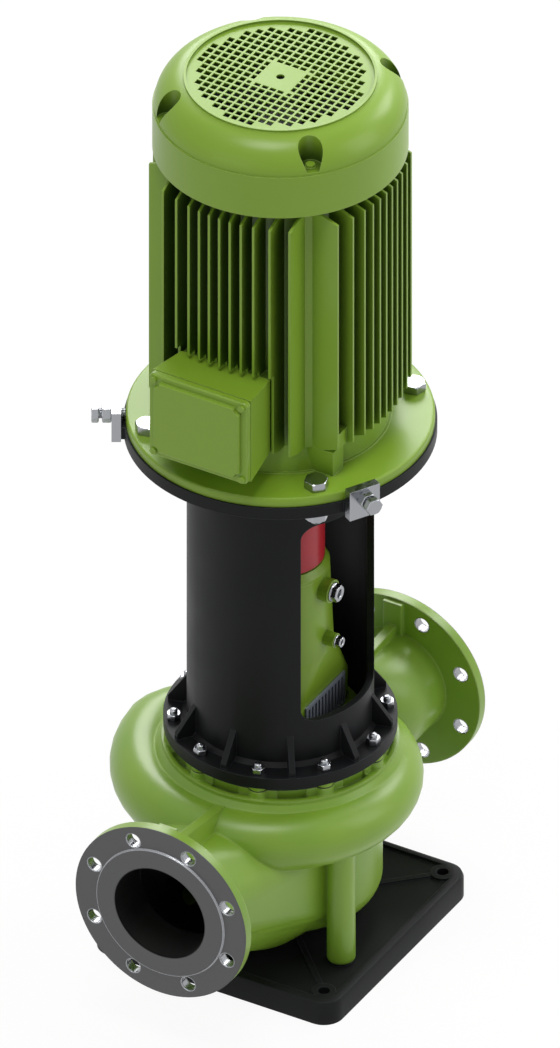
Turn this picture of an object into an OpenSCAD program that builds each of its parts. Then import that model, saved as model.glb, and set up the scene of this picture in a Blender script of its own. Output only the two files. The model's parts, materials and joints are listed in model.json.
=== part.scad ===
// Vertical in-line pump with its motor standing on a lantern.
// Millimetres, +Z up. The origin is on the shaft axis, at the underside of the base plate.
// The suction flange faces -Y, the discharge flange faces +Y.

/* [Pipe flanges] */
// Face to face length between the two flanges
face_to_face = 700; // [690:10:760]
// Height of the pipe axis above the floor
port_z = 225; // [220:1:230]
// Flange outside diameter
flange_d = 285; // [270:1:300]
// Flange thickness with its raised face
flange_t = 19; // [16:1:26]
// Diameter of the raised face
raised_d = 212; // [200:1:214]
// Height of the raised face
raised_t = 3; // [2:0.5:4]
// Pipe bore
port_d = 150; // [140:1:152]
// Wall of the pipe necks
neck_wall = 11; // [9:1:14]
// Bolt circle of the flanges
flange_pcd = 240; // [236:1:242]
// Bolt hole diameter in the flanges
flange_hole_d = 23; // [18:1:24]
// Number of bolt holes in each flange
flange_holes = 8; // [4:4:8]

/* [Base plate] */
// Side of the square base plate
base_w = 406; // [400:2:440]
// Height of the base plate
base_h = 40; // [38:1:46]
// Corner radius of the base plate
base_corner_r = 31; // [24:1:36]
// Radius of the rounded top edge
base_edge_r = 8; // [4:1:10]
// Distance of the foundation holes from the plate's edges
hole_inset = 31; // [29:1:37]
// Foundation hole diameter
base_hole_d = 18; // [14:1:20]
// Outside diameter of the bosses round the foundation holes
base_boss_d = 36; // [32:1:40]
// Depth of the pan in the top of the plate
pan_depth = 4; // [2:0.5:6]
// Width of the lip round the pan
pan_lip = 14; // [12:1:18]
// Thickness of the plate over its hollow underside
base_skin = 14; // [12:1:18]

/* [Volute casing] */
// Height of the middle of the spiral
volute_z = 269.5; // [267:0.5:274]
// Outside radius of the spiral's round section
tube_r = 45; // [43:0.5:46]
// Wall of the casting
casing_wall = 8; // [6:0.5:9]
// Radius from the axis to the middle of the section where the spiral starts
spiral_r = 156; // [154:1:160]
// Growth of the spiral in each quarter turn
spiral_step = 20; // [16:1:22]
// Direction in which the spiral starts
tongue_a = 60; // [55:1:65]
// Outside radius of the suction bowl
bowl_r = 148.5; // [146:0.5:150]
// Height of the bowl's floor above the ground
bowl_floor_z = 60; // [56:1:64]
// Rounding of the bowl's lower edge
bowl_edge_r = 36; // [28:1:40]
// Outside radius of the front lobe of the bowl
lobe_r = 97; // [90:1:100]
// Distance of the lobe's middle in front of the shaft axis
lobe_at = 92; // [80:1:96]
// Diameter of the three legs
leg_d = 42; // [38:1:46]
// Distance of the back leg's middle from the plate's edge
leg_inset = 27; // [25:1:33]
// Rounding of the lower end of the legs
leg_edge_r = 4; // [2:0.5:5]
// Height of the machined top of the casing
casing_top_z = 342; // [340:0.5:344]
// Bore of the casing for the cover
cover_fit_r = 147; // [144:0.5:148]
// Thickness of the webs on the necks
web_t = 14; // [10:1:18]

/* [Cover joint] */
// Number of bosses, studs and nuts
stud_count = 10; // [8:1:12]
// Circle of the studs
stud_pcd = 311; // [309:0.5:313]
// Stud diameter
stud_d = 12; // [10:1:13]
// Width across flats of the nuts
stud_nut_af = 19; // [17:0.5:20]
// Height of the nuts
stud_nut_h = 10; // [8:0.5:12]
// Boss radius
stud_boss_r = 14.5; // [13.5:0.5:16]
// Gasket thickness
gasket_t = 2; // [1:0.5:3]
// Thickness of the cover flange
cover_flange_t = 6; // [5:0.5:8]

/* [Lantern] */
// Outside radius of the bottom flange
lantern_foot_r = 170; // [169:0.5:174]
// Thickness of the bottom flange
lantern_foot_t = 19; // [16:0.5:22]
// Outside radius of the tube
lantern_r = 136; // [134:0.5:138]
// Wall of the tube
lantern_wall = 10; // [8:0.5:11]
// Outside radius of the top flange
lantern_head_r = 227.6; // [225:0.2:228]
// Thickness of the top flange
lantern_head_t = 20; // [16:0.5:24]
// Height of the lantern's top face
motor_seat_z = 890; // [888:1:900]
// Height of the window sill
window_low_z = 441; // [430:1:460]
// Height of the window's top edge
window_high_z = 788; // [770:1:800]
// Width of each window as an angle
window_a = 77.4; // [70:0.2:80]
// Direction of the middle of the first window
window_mid_a = -8.7; // [-12:0.1:-6]
// Radius of the window corners
window_corner_r = 23; // [15:1:30]
// Thickness of the gussets
gusset_t = 9; // [8:0.5:12]
// Height of the gussets above the bottom flange
gusset_h = 51; // [40:1:70]

/* [Bearing bracket] */
// Half width of the square lower block
block_half = 73; // [72:0.5:76]
// Height of the block's top edge
block_top_z = 434; // [430:1:440]
// Height of the bracket's foot plate
foot_plate_t = 11; // [9:0.5:13]
// Outside radius at the lower end of the barrel
barrel_low_r = 77.7; // [76:0.1:79]
// Outside radius at the upper end of the barrel
barrel_high_r = 72; // [71:0.5:74]
// Height where the barrel starts
barrel_low_z = 500; // [490:1:510]
// Height of the barrel's top face
barrel_high_z = 635; // [632:1:638]
// Height of the big oil filler plug
filler_z = 613; // [610:1:616]
// Height of the small oil level plug
level_z = 528; // [524:1:532]
// Width of the openings in the lower block
block_window_w = 104; // [90:1:108]
// Thickness of the guards
guard_t = 3; // [2:0.5:4]
// Number of slots in each guard
guard_slots = 11; // [8:1:13]

/* [Shafts and bearings] */
// Pump shaft radius in its bearings and seal
pump_shaft_r = 25; // [24:0.5:26]
// Outside radius of the pump bearings
pump_bearing_r = 55; // [54:0.5:56]
// Width of the pump bearings
pump_bearing_w = 27; // [25:0.5:28]
// Height of the underside of the lower pump bearing
pump_low_z = 480; // [478:0.5:484]
// Height of the underside of the upper pump bearing
pump_high_z = 600; // [598:0.5:601]
// Ball radius of the pump bearings
pump_ball_r = 8.5; // [7.5:0.1:9]
// Motor shaft radius in the lower bearing
motor_shaft_r = 30; // [29:0.5:31]
// Outside radius of the lower motor bearing
motor_bearing_r = 65; // [63:0.5:66]
// Width of the lower motor bearing
motor_bearing_w = 31; // [28:0.5:32]
// Height of the underside of the lower motor bearing
motor_low_z = 915; // [912:0.5:917]
// Ball radius of the lower motor bearing
motor_ball_r = 10; // [9:0.1:10.5]
// Motor shaft radius in the upper bearing
motor_top_shaft_r = 25; // [24:0.5:26]
// Outside radius of the upper motor bearing
motor_top_bearing_r = 55; // [54:0.5:56]
// Width of the upper motor bearing
motor_top_bearing_w = 27; // [25:0.5:28]
// Number of balls in each bearing
ball_count = 8; // [6:1:8]
// Radius of the shaft ends in the coupling
shaft_end_r = 22.5; // [20:0.5:23]
// Radius of the impeller
impeller_r = 130; // [124:1:134]
// Width of the impeller's outlet
impeller_b = 24; // [20:1:26]
// Number of impeller blades
blade_count = 6; // [5:1:7]
// Radius of the impeller's inlet
eye_r = 62; // [58:1:64]

/* [Coupling] */
// Outside radius of the coupling
coupling_r = 64.7; // [60:0.1:66]
// Height of the underside of the lower hub
coupling_z = 654; // [653:0.5:658]
// Length of each hub without its jaws
hub_len = 88; // [80:1:90]
// Length of the jaws
jaw_len = 22; // [18:1:26]
// Angle of each jaw
jaw_a = 44; // [40:1:46]

/* [Motor] */
// Radius of the motor flange
motor_flange_r = 224.5; // [223:0.1:225]
// Thickness of the motor flange
motor_flange_t = 15; // [13:0.5:18]
// Height of the shield above the motor seat
shield_h = 56; // [54:1:58]
// Radius of the shield's foot
shield_foot_r = 158; // [156:0.5:162]
// Core radius of the motor frame
frame_r = 150; // [149:0.5:151]
// Length of the finned frame
frame_len = 415; // [411:1:419]
// Wall of the frame
frame_wall = 10; // [9:0.5:12]
// Distance of the middle fin's tip from the axis
fin_tip = 178; // [175:0.5:179]
// Radius of the arc that the fin tips follow
fin_arc_r = 290; // [280:1:310]
// Thickness of the fins
fin_t = 3.8; // [3:0.1:5]
// Distance of the outermost fins from the middle
fin_span = 106; // [105:0.5:107]
// Length of the slants at the outer corners of each fin
fin_slant = 22; // [18:1:23]
// Fall of those slants
fin_fall = 9; // [6:1:11]
// Width of the slope in the corner between the outermost fins
fin_fill = 7.6; // [6:0.2:9]
// Height of the foot lugs beside the outermost fins
lug_h = 32; // [28:1:36]
// Radius of the stator bore
stator_bore_r = 95; // [92:0.5:97]
// Air gap between rotor and stator
air_gap = 0.7; // [0.5:0.1:1]
// Room for the windings at each end of the stator core
winding_room = 65; // [60:1:70]
// Bolt circle of the motor bolts
motor_pcd = 400; // [396:1:402]
// Motor bolt diameter
motor_bolt_d = 20; // [16:1:20]
// Width across flats of the motor bolts
motor_bolt_af = 32; // [28:0.5:33]
// Height of the motor bolt heads
motor_head_h = 14; // [12:0.5:16]

/* [Fan cowl] */
// Radius of the cowl's band
cowl_r = 186; // [185:0.5:188]
// Radius of the round edge between the band and the flat top
dome_h = 50; // [44:1:54]
// Height of the cowl's lower edge above the end of the fins
cowl_gap = 15; // [13:1:18]
// Height of the straight band
cowl_band_h = 71; // [66:1:72]
// Sheet thickness
cowl_t = 2.5; // [2:0.1:3]
// Depth of the sunk grille
cowl_sink = 4; // [2:0.5:5]
// Pitch of the grille
grille_pitch = 12.83; // [11:0.01:15]
// Width of the grille's bars
grille_bar = 3.2; // [2.5:0.1:4]
// Width of the blank rim round the field of holes
grille_rim = 11; // [9:0.5:20]
// Half width of the blank square in the middle
grille_blank = 30; // [24:1:36]
// Diameter of the hole in the middle
grille_hole_d = 12.5; // [8:0.5:16]
// Distance of the four cowl screws from the outside of the band
cowl_screw_inset = 18; // [17:0.5:21]
// Radius of the pockets for the cowl screws
pocket_r = 18; // [15:0.5:19]
// Fan radius
fan_r = 150; // [140:1:152]
// Height of the fan's blades
fan_h = 40; // [34:1:44]

/* [Terminal box] */
// Width of the box
box_w = 164; // [156:1:166]
// Height of the box
box_h = 143; // [136:1:146]
// Height of the box's underside above the floor
box_z = 945; // [943:0.5:948]
// Distance of the front face of the lid from the axis
box_front = 245; // [240:1:250]
// Thickness of the lid
lid_t = 16; // [14:0.5:18]
// Taper of the box towards the motor, on each side
box_taper = 9; // [6:0.5:12]
// Wall of the box
box_wall = 5; // [4:0.5:7]

/* [Jacking screws] */
// Height and width of the jacking plates
jack_w = 50; // [44:1:52]
// Thickness of the jacking plates
jack_t = 14; // [12:0.5:16]
// Distance of the plates' inner faces from the axis
jack_at = 231; // [230:0.5:234]
// Screw diameter
jack_d = 16; // [12:1:16]
// Width across flats of the screw heads and lock nuts
jack_af = 24; // [22:0.5:26]
// Thickness of the lock nuts
jack_nut_h = 13.8; // [10:0.2:14]
// Space between lock nut and head
jack_gap = 4.5; // [4.5:0.5:8]
// Thickness of the screw heads
jack_head_h = 11; // [9:0.5:12]

/* [Clearances] */
// Radial play between balls and their grooves
ball_play = 0.05; // [0.02:0.01:0.1]
// Radial play of a register or a loose bolt hole
fit_play = 0.1; // [0.05:0.01:0.2]
// Radial play of through bolts in their holes
bolt_play = 1; // [0.5:0.1:1.5]
// Running gap between turning and standing pieces
run_gap = 1; // [0.5:0.1:1.5]
// Radial play of the jacking screws in their plates
screw_play = 0.05; // [0.02:0.01:0.1]
// Space between the jacking screws and the motor seat under them
jack_rise = 0.5; // [0.4:0.1:2]

/* [Hidden] */
$fn = 64;
// Cuts run past the faces that they open by this much.
cut = 1;

green = [0.47, 0.62, 0.20];
black = [0.14, 0.14, 0.15];
steel = [0.75, 0.76, 0.78];
dark_steel = [0.35, 0.36, 0.38];
red = [0.65, 0.24, 0.25];

// Directions of the legs and of the jacking screws, and of everything set at the four corners.
leg_angles = [-30, -150, 90];
corner_angles = [45, 135, 225, 315];

// Pipe flanges.
half_span = face_to_face / 2;
port_r = port_d / 2;
neck_r = port_r + neck_wall;

// The front web stands between the two upper bolt holes and leaves them clear.
web_at = flange_pcd / 2 * sin(180 / flange_holes) - (flange_hole_d + web_t) / 2 - 1.4;
flange_r = flange_d / 2;
flange_back = half_span - flange_t;

// Base plate.
pan_floor_z = base_h - pan_depth;
base_under_z = pan_floor_z - base_skin;
base_hole_at = base_w / 2 - hole_inset;
leg_at = base_w / 2 - leg_inset;
leg_boss_r = leg_d / 2 - leg_edge_r;
leg_screw_r = 6;
leg_screw_af = 18;
leg_head_h = 8;
leg_counterbore_r = 12;
leg_counterbore_z = 16;
leg_screw_in = 26;

// The spiral ends at the -X side, where the discharge leaves along +Y.
spiral_turn = tongue_a + 180;
spiral_rings = 30;
run_rings = 12;
outlet_r = spiral_r + spiral_step * spiral_turn / 90;
back_neck = [0, 268, port_z];
front_neck_y = -285;
// The hollows of the run and the bowl end this much inside the bores that they enter.
neck_step = 0.6;
neck_lap = 6;
// Narrowest section of the suction bend, with round sides.
throat_half = 26;
throat_r = 48;
throat_y = -spiral_r - tube_r - 18;
throat_z = bowl_floor_z + throat_r + 44;

// Heights inside the casing.
eye_floor_z = volute_z - tube_r - 2;
chamber_low_z = volute_z - impeller_b / 2 - 12;
casing_shoulder_z = casing_top_z - 13;
cover_low_z = volute_z + impeller_b / 2 + 14;
ring_r = stud_pcd / 2 + 5;
lip_r = stud_pcd / 2 + 11;
cover_flange_z = casing_top_z + gasket_t;
lantern_z = cover_flange_z + cover_flange_t;
stud_r = stud_d / 2;
stud_in = 22;
stud_out = 7;

// Cover.
cover_r = stud_pcd / 2 + 6;
cover_spigot_r = cover_fit_r - fit_play;
cover_step_r = lantern_r - lantern_wall - 6;
cover_top_z = lantern_z + 16;
cover_hub_r = 84;
seal_room_r = 46;
seal_seat_r = 40;

// Lantern.
lantern_in_r = lantern_r - lantern_wall;
lantern_foot_z = lantern_z + lantern_foot_t;
lantern_head_z = motor_seat_z - lantern_head_t;
gusset_out_r = lantern_foot_r - 4;
nut_z = lantern_foot_z;

// Bracket.
bracket_z = cover_top_z;
foot_top_z = bracket_z + foot_plate_t;
foot_half = block_half + 7;
bracket_bolt_at = 62;
bracket_screw_r = 6;
bracket_screw_in = 20;
bracket_screw_af = 18;
bracket_head_h = 8;
barrel_bore_r = pump_bearing_r;
bearing_lip_h = 6;
bearing_cone_h = 10;

// Plugs on the bracket, each on a boss with a flat face.
filler_face = barrel_low_r + 10;
filler_boss_r = 18;
filler_collar_r = 15;
filler_stem_r = 10;
filler_af = 24;
level_face = barrel_low_r + 16;
level_boss_r = 11;
level_collar_r = 9;
level_stem_r = 6;
level_af = 15;
plug_in = 18;
barrel_cavity_r = pump_bearing_r - 8;
block_wall = 13;

// Impeller.
shroud_t = 5;
impeller_z = volute_z - impeller_b / 2;
eye_out_r = eye_r + 6;
wear_out_r = eye_out_r + 7;
impeller_neck_z = eye_floor_z + 4;
impeller_hub_r = 32;
impeller_bore_r = 20;
impeller_top_z = impeller_z + impeller_b + shroud_t;
impeller_hub_z = impeller_top_z + 14;
seal_face_z = cover_top_z - 18;

// Motor shield and frame.
flange_top_z = motor_seat_z + motor_flange_t;
frame_z = motor_seat_z + shield_h;
frame_top_z = frame_z + frame_len;
frame_bore_r = frame_r - frame_wall;
wall_mid_r = frame_r - frame_wall / 2;
register_r = lantern_in_r;
motor_room_r = frame_bore_r - 2;
core_z = frame_z + winding_room;
core_len = frame_len - 2 * winding_room;
winding_h = winding_room - 10;
winding_mid_r = (frame_bore_r + stator_bore_r) / 2;
winding_w = frame_bore_r - stator_bore_r - 17;
bearing_hub_r = motor_bearing_r + 12;
motor_top_z = frame_top_z - 14;
top_hub_r = motor_top_bearing_r + 12;
end_disc_t = 12;
motor_bolt_r = motor_bolt_d / 2;
washer_t = 3;
motor_nut_h = 16;

// Cowl.
cowl_z = frame_top_z + cowl_gap;
cowl_band_z = cowl_z + cowl_band_h;
cowl_step = 2;
cowl_rim_h = 3;
total_h = cowl_band_z + dome_h + cowl_rim_h;
dome_mid_r = cowl_r - cowl_step - dome_h;
cowl_flat_r = dome_mid_r + 4;
grille_r = cowl_flat_r - grille_rim;
grille_z = total_h - cowl_sink;
cowl_in_r = cowl_r - cowl_t - cowl_step;
cowl_screw_at = cowl_r - cowl_screw_inset;
cowl_screw_r = 4;
cowl_screw_in = 18;
pocket_floor_z = cowl_band_z + 4;

// End shield. Its rim carries the posts that hold the cowl.
end_rim_z = cowl_z + 3;
end_rim_t = 6;
end_rim_r = cowl_in_r - 2;
skirt_r = frame_r - 4;
skirt_t = 8;
post_r = 9;

// Jacking screws.
jack_z = motor_seat_z + jack_d / 2 + jack_rise;

// Terminal box.
box_rear = frame_r - 2;
box_face = box_front - lid_t;
box_gasket_t = 1.5;
box_mid_z = box_z + box_h / 2;
pad_face = frame_r + 8;
lid_plate_t = lid_t - 6;
lid_corner_r = 10;
lid_screw_at = 8.5;

// Coupling and shafts.
jaw_z = coupling_z + hub_len;
upper_hub_z = jaw_z + jaw_len;
shaft_gap = 5;
pump_end_z = jaw_z - shaft_gap;
motor_end_z = upper_hub_z + shaft_gap;
spider_a = 60 - jaw_a - 1;
fan_z = cowl_z + 10;
fan_cap = 6;
fan_bore_r = 19;

module ring(outer, inner, h) {
    difference() {
        cylinder(r = outer, h = h);
        translate([0, 0, -cut]) cylinder(r = inner, h = h + 2 * cut);
    }
}

module at_polar(r, a, z = 0) {
    rotate([0, 0, a]) translate([r, 0, z]) children();
}

module hex(af, h) {
    cylinder(r = af / 2 / cos(30), h = h, $fn = 6);
}

// A square with round corners, built from squares and circles.
module round_square(w, d, r) {
    square([w - 2 * r, d], center = true);
    square([w, d - 2 * r], center = true);
    for (x = [-1, 1], y = [-1, 1])
        translate([x * (w / 2 - r), y * (d / 2 - r)]) circle(r);
}

module round_block(w, d, r, h) {
    linear_extrude(h) round_square(w, d, r);
}

// A round rod with a rounded lower end.
module round_ended(r, edge, h) {
    translate([0, 0, edge]) cylinder(r = r, h = h - edge);
    cylinder(r = r - edge, h = edge);
    translate([0, 0, edge]) rotate_extrude() translate([r - edge, 0]) circle(edge);
}

// Lies along +Y from its own origin.
module along_y(r, h) {
    rotate([-90, 0, 0]) cylinder(r = r, h = h);
}

// Base plate.

// The plate's outside, with its top edge rounded off in two steps.
module base_outside() {
    hull() {
        round_block(base_w, base_w, base_corner_r, base_h - base_edge_r, $fn = 48);
        round_block(base_w - 0.6 * base_edge_r, base_w - 0.6 * base_edge_r,
            base_corner_r - 0.3 * base_edge_r, base_h - 0.3 * base_edge_r, $fn = 48);
        round_block(base_w - 2 * base_edge_r, base_w - 2 * base_edge_r,
            base_corner_r - base_edge_r, base_h, $fn = 48);
    }
}

module foundation_places() {
    for (x = [-1, 1], y = [-1, 1])
        translate([x * base_hole_at, y * base_hole_at, 0]) children();
}

module base_ribs(w, z, h) {
    reach = base_hole_at * sqrt(2);
    for (a = [45, 135]) rotate([0, 0, a])
        translate([-reach, -w / 2, z]) cube([2 * reach, w, h]);
}

module base_plate() {
    pan_w = base_w - 2 * pan_lip;
    under_w = base_w - 2 * base_skin;
    color(black) difference() {
        base_outside();
        difference() {
            translate([0, 0, pan_floor_z])
                round_block(pan_w, pan_w, base_corner_r - pan_lip / 2, pan_depth + cut);
            foundation_places() cylinder(r = base_boss_d / 2, h = base_h);
            for (a = leg_angles) at_polar(leg_at, a) cylinder(r = leg_boss_r, h = base_h);
            base_ribs(8, 0, base_h - 1);
        }
        difference() {
            translate([0, 0, -cut])
                round_block(under_w, under_w, base_corner_r / 2, base_under_z + cut);
            foundation_places() translate([0, 0, -cut])
                cylinder(r = base_boss_d / 2 + 2, h = base_h);
            for (a = leg_angles) at_polar(leg_at, a, -cut) cylinder(r = leg_boss_r, h = base_h);
            translate([0, 0, -cut]) cylinder(r = 40, h = base_h);
            base_ribs(12, -cut, base_h);
        }
        foundation_places() translate([0, 0, -cut])
            cylinder(r = base_hole_d / 2, h = base_h + 2 * cut);
        for (a = leg_angles) at_polar(leg_at, a, -cut) {
            cylinder(r = leg_screw_r + bolt_play, h = base_h + 2 * cut);
            cylinder(r = leg_counterbore_r, h = leg_counterbore_z + cut);
        }
    }
}

module leg_screws() {
    color(steel) for (a = leg_angles) at_polar(leg_at, a, leg_counterbore_z) {
        translate([0, 0, -leg_head_h]) hex(leg_screw_af, leg_head_h);
        cylinder(r = leg_screw_r, h = base_h + leg_screw_in - leg_counterbore_z - 2);
    }
}

// Volute casing.

function smooth(t) = t * t * (3 - 2 * t);

// Section of the spiral after a clockwise turn from its start: a circle in the plane
// through the shaft axis.
function spiral_ring(turn, r, sides) =
    let (a = tongue_a - turn, mid = spiral_r + spiral_step * turn / 90)
    [for (j = [0 : sides - 1]) let (b = j * 360 / sides, d = mid + r * cos(b))
        [d * cos(a), d * sin(a), volute_z + r * sin(b)]];

// Section of the run from the spiral's end to the back neck. It stands square to Y,
// and its middle moves over to the neck along a smooth step.
function run_ring(t, r0, r1, sides) =
    let (u = smooth(t), r = r0 + (r1 - r0) * u, z = volute_z + (port_z - volute_z) * u)
    [for (j = [0 : sides - 1]) let (b = j * 360 / sides)
        [-outlet_r * (1 - u) - r * cos(b), back_neck[1] * t, z + r * sin(b)]];

// Spiral and discharge run as one tube. It can go on straight for a further stretch.
module casing_tube(r, end_r, sides, further = 0) {
    rings = concat(
        [for (i = [0 : spiral_rings]) spiral_ring(spiral_turn * i / spiral_rings, r, sides)],
        [for (i = [1 : run_rings]) run_ring(i / run_rings, r, end_r, sides)],
        further > 0 ? [[for (q = run_ring(1, r, end_r, sides)) q + [0, further, 0]]] : []);
    last = len(rings) - 1;
    points = [for (ring = rings, q = ring) q];
    walls = [for (i = [0 : last - 1], j = [0 : sides - 1])
        let (p = i * sides + j, q = i * sides + (j + 1) % sides)
        for (f = [[q, p, p + sides], [q, p + sides, q + sides]]) f];
    ends = [[for (j = [0 : sides - 1]) j],
        [for (j = [sides - 1 : -1 : 0]) last * sides + j]];
    polyhedron(points, concat(walls, ends));
}

// Plain round body inside the spiral. It also closes the side where the spiral has no turn.
module spiral_core() {
    shoulder_r = spiral_r + tube_r * 0.75;
    translate([0, 0, volute_z]) rotate_extrude() translate([spiral_r - 6, 0]) circle(tube_r);
    translate([0, 0, volute_z - tube_r * 0.65]) cylinder(r = shoulder_r, h = tube_r * 1.3);
    translate([0, 0, volute_z + tube_r * 0.65]) cylinder(r1 = shoulder_r, r2 = lip_r + 2,
        h = casing_shoulder_z - volute_z - tube_r * 0.65);
}

module suction_outside() {
    translate([0, 0, bowl_floor_z]) round_ended(bowl_r, bowl_edge_r, volute_z - bowl_floor_z);
    hull() {
        translate([0, -flange_back - 1, port_z])
            along_y(neck_r, flange_back + front_neck_y + 11);
        translate([0, -lobe_at, bowl_floor_z + 16]) cylinder(r = lobe_r, h = 90);
        translate([0, -lobe_at, bowl_floor_z]) cylinder(r = lobe_r - 13, h = 16);
        translate([0, 0, bowl_floor_z + bowl_edge_r]) cylinder(r = bowl_r - 1, h = 110);
        translate([0, 0, bowl_floor_z]) cylinder(r = bowl_r - bowl_edge_r, h = 16);
    }
}

module throat() {
    for (s = [-1, 1]) translate([s * throat_half, throat_y, throat_z]) along_y(throat_r, 1, $fn = 32);
}

module suction_inside() {
    floor_z = bowl_floor_z + casing_wall + 2;
    wall = casing_wall + 1;
    translate([0, 0, floor_z])
        round_ended(bowl_r - wall, bowl_edge_r - 6, eye_floor_z - 14 - floor_z);
    hull() {
        translate([0, front_neck_y + 5, port_z]) along_y(port_r - 1, 4, $fn = 32);
        throat();
    }
    hull() {
        throat();
        translate([-lobe_r + wall, -lobe_at, floor_z + 16]) cube([2 * (lobe_r - wall), 1, 112]);
    }
}

module pipe_flange() {
    difference() {
        union() {
            translate([0, flange_back, 0]) along_y(flange_r, flange_t - raised_t);
            translate([0, flange_back, 0]) along_y(raised_d / 2, flange_t);
            translate([-15, flange_back - 8, neck_r - 4]) cube([30, 9, flange_r - neck_r]);
        }
        for (i = [0 : flange_holes - 1]) rotate([0, (i + 0.5) * 360 / flange_holes, 0])
            translate([flange_pcd / 2, flange_back - cut, 0])
                along_y(flange_hole_d / 2, flange_t + 2 * cut);
    }
}

// Upright web between the front flange and the spiral.
module front_web() {
    top = port_z + flange_r - 6;
    crown = flange_back - spiral_r - 1.25 * spiral_step;
    translate([web_at, -flange_back - 1, 0]) rotate([0, 0, 8])
        rotate([90, 0, 90]) translate([0, 0, -web_t / 2]) linear_extrude(web_t)
            polygon([[0, port_z + 40], [0, top], [crown, volute_z + tube_r + 2],
                [crown + 40, volute_z], [0.4 * crown, port_z + 40]]);
}

module back_web() {
    near = spiral_r + 4;
    translate([-web_t / 2, 0, 0]) rotate([90, 0, 90]) linear_extrude(web_t)
        polygon([[near, volute_z], [near + 30, volute_z + tube_r],
            [flange_back, port_z + neck_r + 16], [flange_back, port_z + 40],
            [near + 40, port_z + 30]]);
}

module casing_ring() {
    h = casing_top_z - volute_z;
    translate([0, 0, volute_z]) cylinder(r = ring_r, h = h);
    for (i = [0 : stud_count - 1]) at_polar(stud_pcd / 2, i * 360 / stud_count, volute_z)
        cylinder(r = stud_boss_r, h = h);
    translate([0, 0, casing_shoulder_z - 12]) cylinder(r = lip_r + 6, h = 13);
}

// Hollows between the bosses, behind the raised lips.
module ring_hollows() {
    half = 180 / stud_count;
    for (i = [0 : stud_count - 1]) rotate([0, 0, (i + 0.5) * 360 / stud_count - half * 0.42])
        rotate_extrude(angle = half * 0.84)
            translate([ring_r - 3, casing_shoulder_z - 4])
                square([lip_r - ring_r + 1, casing_top_z - casing_shoulder_z + 5]);
}

module volute_casing() {
    color(green) difference() {
        union() {
            casing_tube(tube_r, neck_r, 32, flange_back - back_neck[1] + 1);
            spiral_core();
            casing_ring();
            suction_outside();
            translate([0, 0, port_z]) pipe_flange();
            translate([0, 0, port_z]) rotate([0, 0, 180]) pipe_flange();
            front_web();
            back_web();
            for (a = leg_angles) at_polar(leg_at, a, base_h)
                round_ended(leg_d / 2, leg_edge_r, volute_z - base_h);
        }
        casing_tube(tube_r - casing_wall, port_r - neck_step, 20);
        translate([0, 0, volute_z - impeller_b / 2 - 2])
            cylinder(r = spiral_r + 18, h = impeller_b + 4);
        translate([0, back_neck[1] - neck_lap, port_z])
            along_y(port_r, half_span - back_neck[1] + neck_lap + cut);
        translate([0, -half_span - cut, port_z]) along_y(port_r, half_span + front_neck_y + cut + 8);
        suction_inside();
        translate([0, 0, chamber_low_z]) cylinder(r = impeller_r + 14, h = volute_z - chamber_low_z);
        translate([0, 0, volute_z]) cylinder(r = cover_fit_r, h = casing_top_z - volute_z + cut);
        translate([0, 0, eye_floor_z - 20]) cylinder(r = wear_out_r, h = 60);
        for (i = [0 : stud_count - 1]) at_polar(stud_pcd / 2, i * 360 / stud_count,
            casing_top_z - stud_in) cylinder(r = stud_r, h = stud_in + cut);
        ring_hollows();
        for (a = leg_angles) at_polar(leg_at, a, base_h - cut)
            cylinder(r = leg_screw_r, h = leg_screw_in + cut);
    }
}

module wear_ring() {
    color("silver") translate([0, 0, eye_floor_z - 14])
        ring(wear_out_r, eye_out_r + run_gap / 2, chamber_low_z - eye_floor_z + 14);
}

module cover_outline(grow) {
    circle(cover_r + grow);
    for (i = [0 : stud_count - 1]) rotate([0, 0, i * 360 / stud_count])
        translate([stud_pcd / 2, 0]) circle(stud_boss_r - 0.5 + grow);
}

module stud_holes(r, z, h) {
    for (i = [0 : stud_count - 1]) at_polar(stud_pcd / 2, i * 360 / stud_count, z)
        cylinder(r = r, h = h);
}

module casing_gasket() {
    color([0.08, 0.08, 0.08]) translate([0, 0, casing_top_z]) difference() {
        linear_extrude(gasket_t) cover_outline(-0.5);
        translate([0, 0, -cut]) cylinder(r = cover_fit_r, h = gasket_t + 2 * cut);
        stud_holes(stud_r + bolt_play, -cut, gasket_t + 2 * cut);
    }
}

module cover_pocket() {
    low = cover_low_z + 18;
    difference() {
        translate([0, 0, low]) ring(cover_step_r - 8, cover_hub_r, cover_top_z - low + cut);
        for (a = corner_angles) rotate([0, 0, a]) translate([cover_hub_r - 4, -13, low - cut])
            cube([cover_step_r, 26, cover_top_z]);
    }
}

module casing_cover() {
    color(green) difference() {
        union() {
            translate([0, 0, cover_low_z])
                cylinder(r = cover_spigot_r, h = cover_flange_z - cover_low_z);
            translate([0, 0, cover_flange_z]) linear_extrude(cover_flange_t) cover_outline(0);
            translate([0, 0, lantern_z]) cylinder(r = cover_step_r, h = cover_top_z - lantern_z);
        }
        cover_pocket();
        stud_holes(stud_r + bolt_play, cover_flange_z - cut, cover_flange_t + 2 * cut);
        translate([0, 0, cover_low_z - cut])
            cylinder(r = seal_room_r, h = seal_face_z - cover_low_z + cut);
        translate([0, 0, seal_face_z - cut]) cylinder(r = seal_seat_r, h = 10 + cut);
        translate([0, 0, seal_face_z]) cylinder(r = pump_shaft_r + 4, h = 30);
        bracket_bolt_places() translate([0, 0, cover_top_z - bracket_screw_in - 2])
            cylinder(r = bracket_screw_r, h = bracket_screw_in + 2 + cut);
    }
}

module seal_seat() {
    color(dark_steel) translate([0, 0, seal_face_z])
        ring(seal_seat_r, pump_shaft_r + run_gap, 10);
}

// Bearing bracket.

module bracket_bolt_places() {
    for (x = [-1, 1], y = [-1, 1])
        translate([x * bracket_bolt_at, y * bracket_bolt_at, 0]) children();
}

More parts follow.
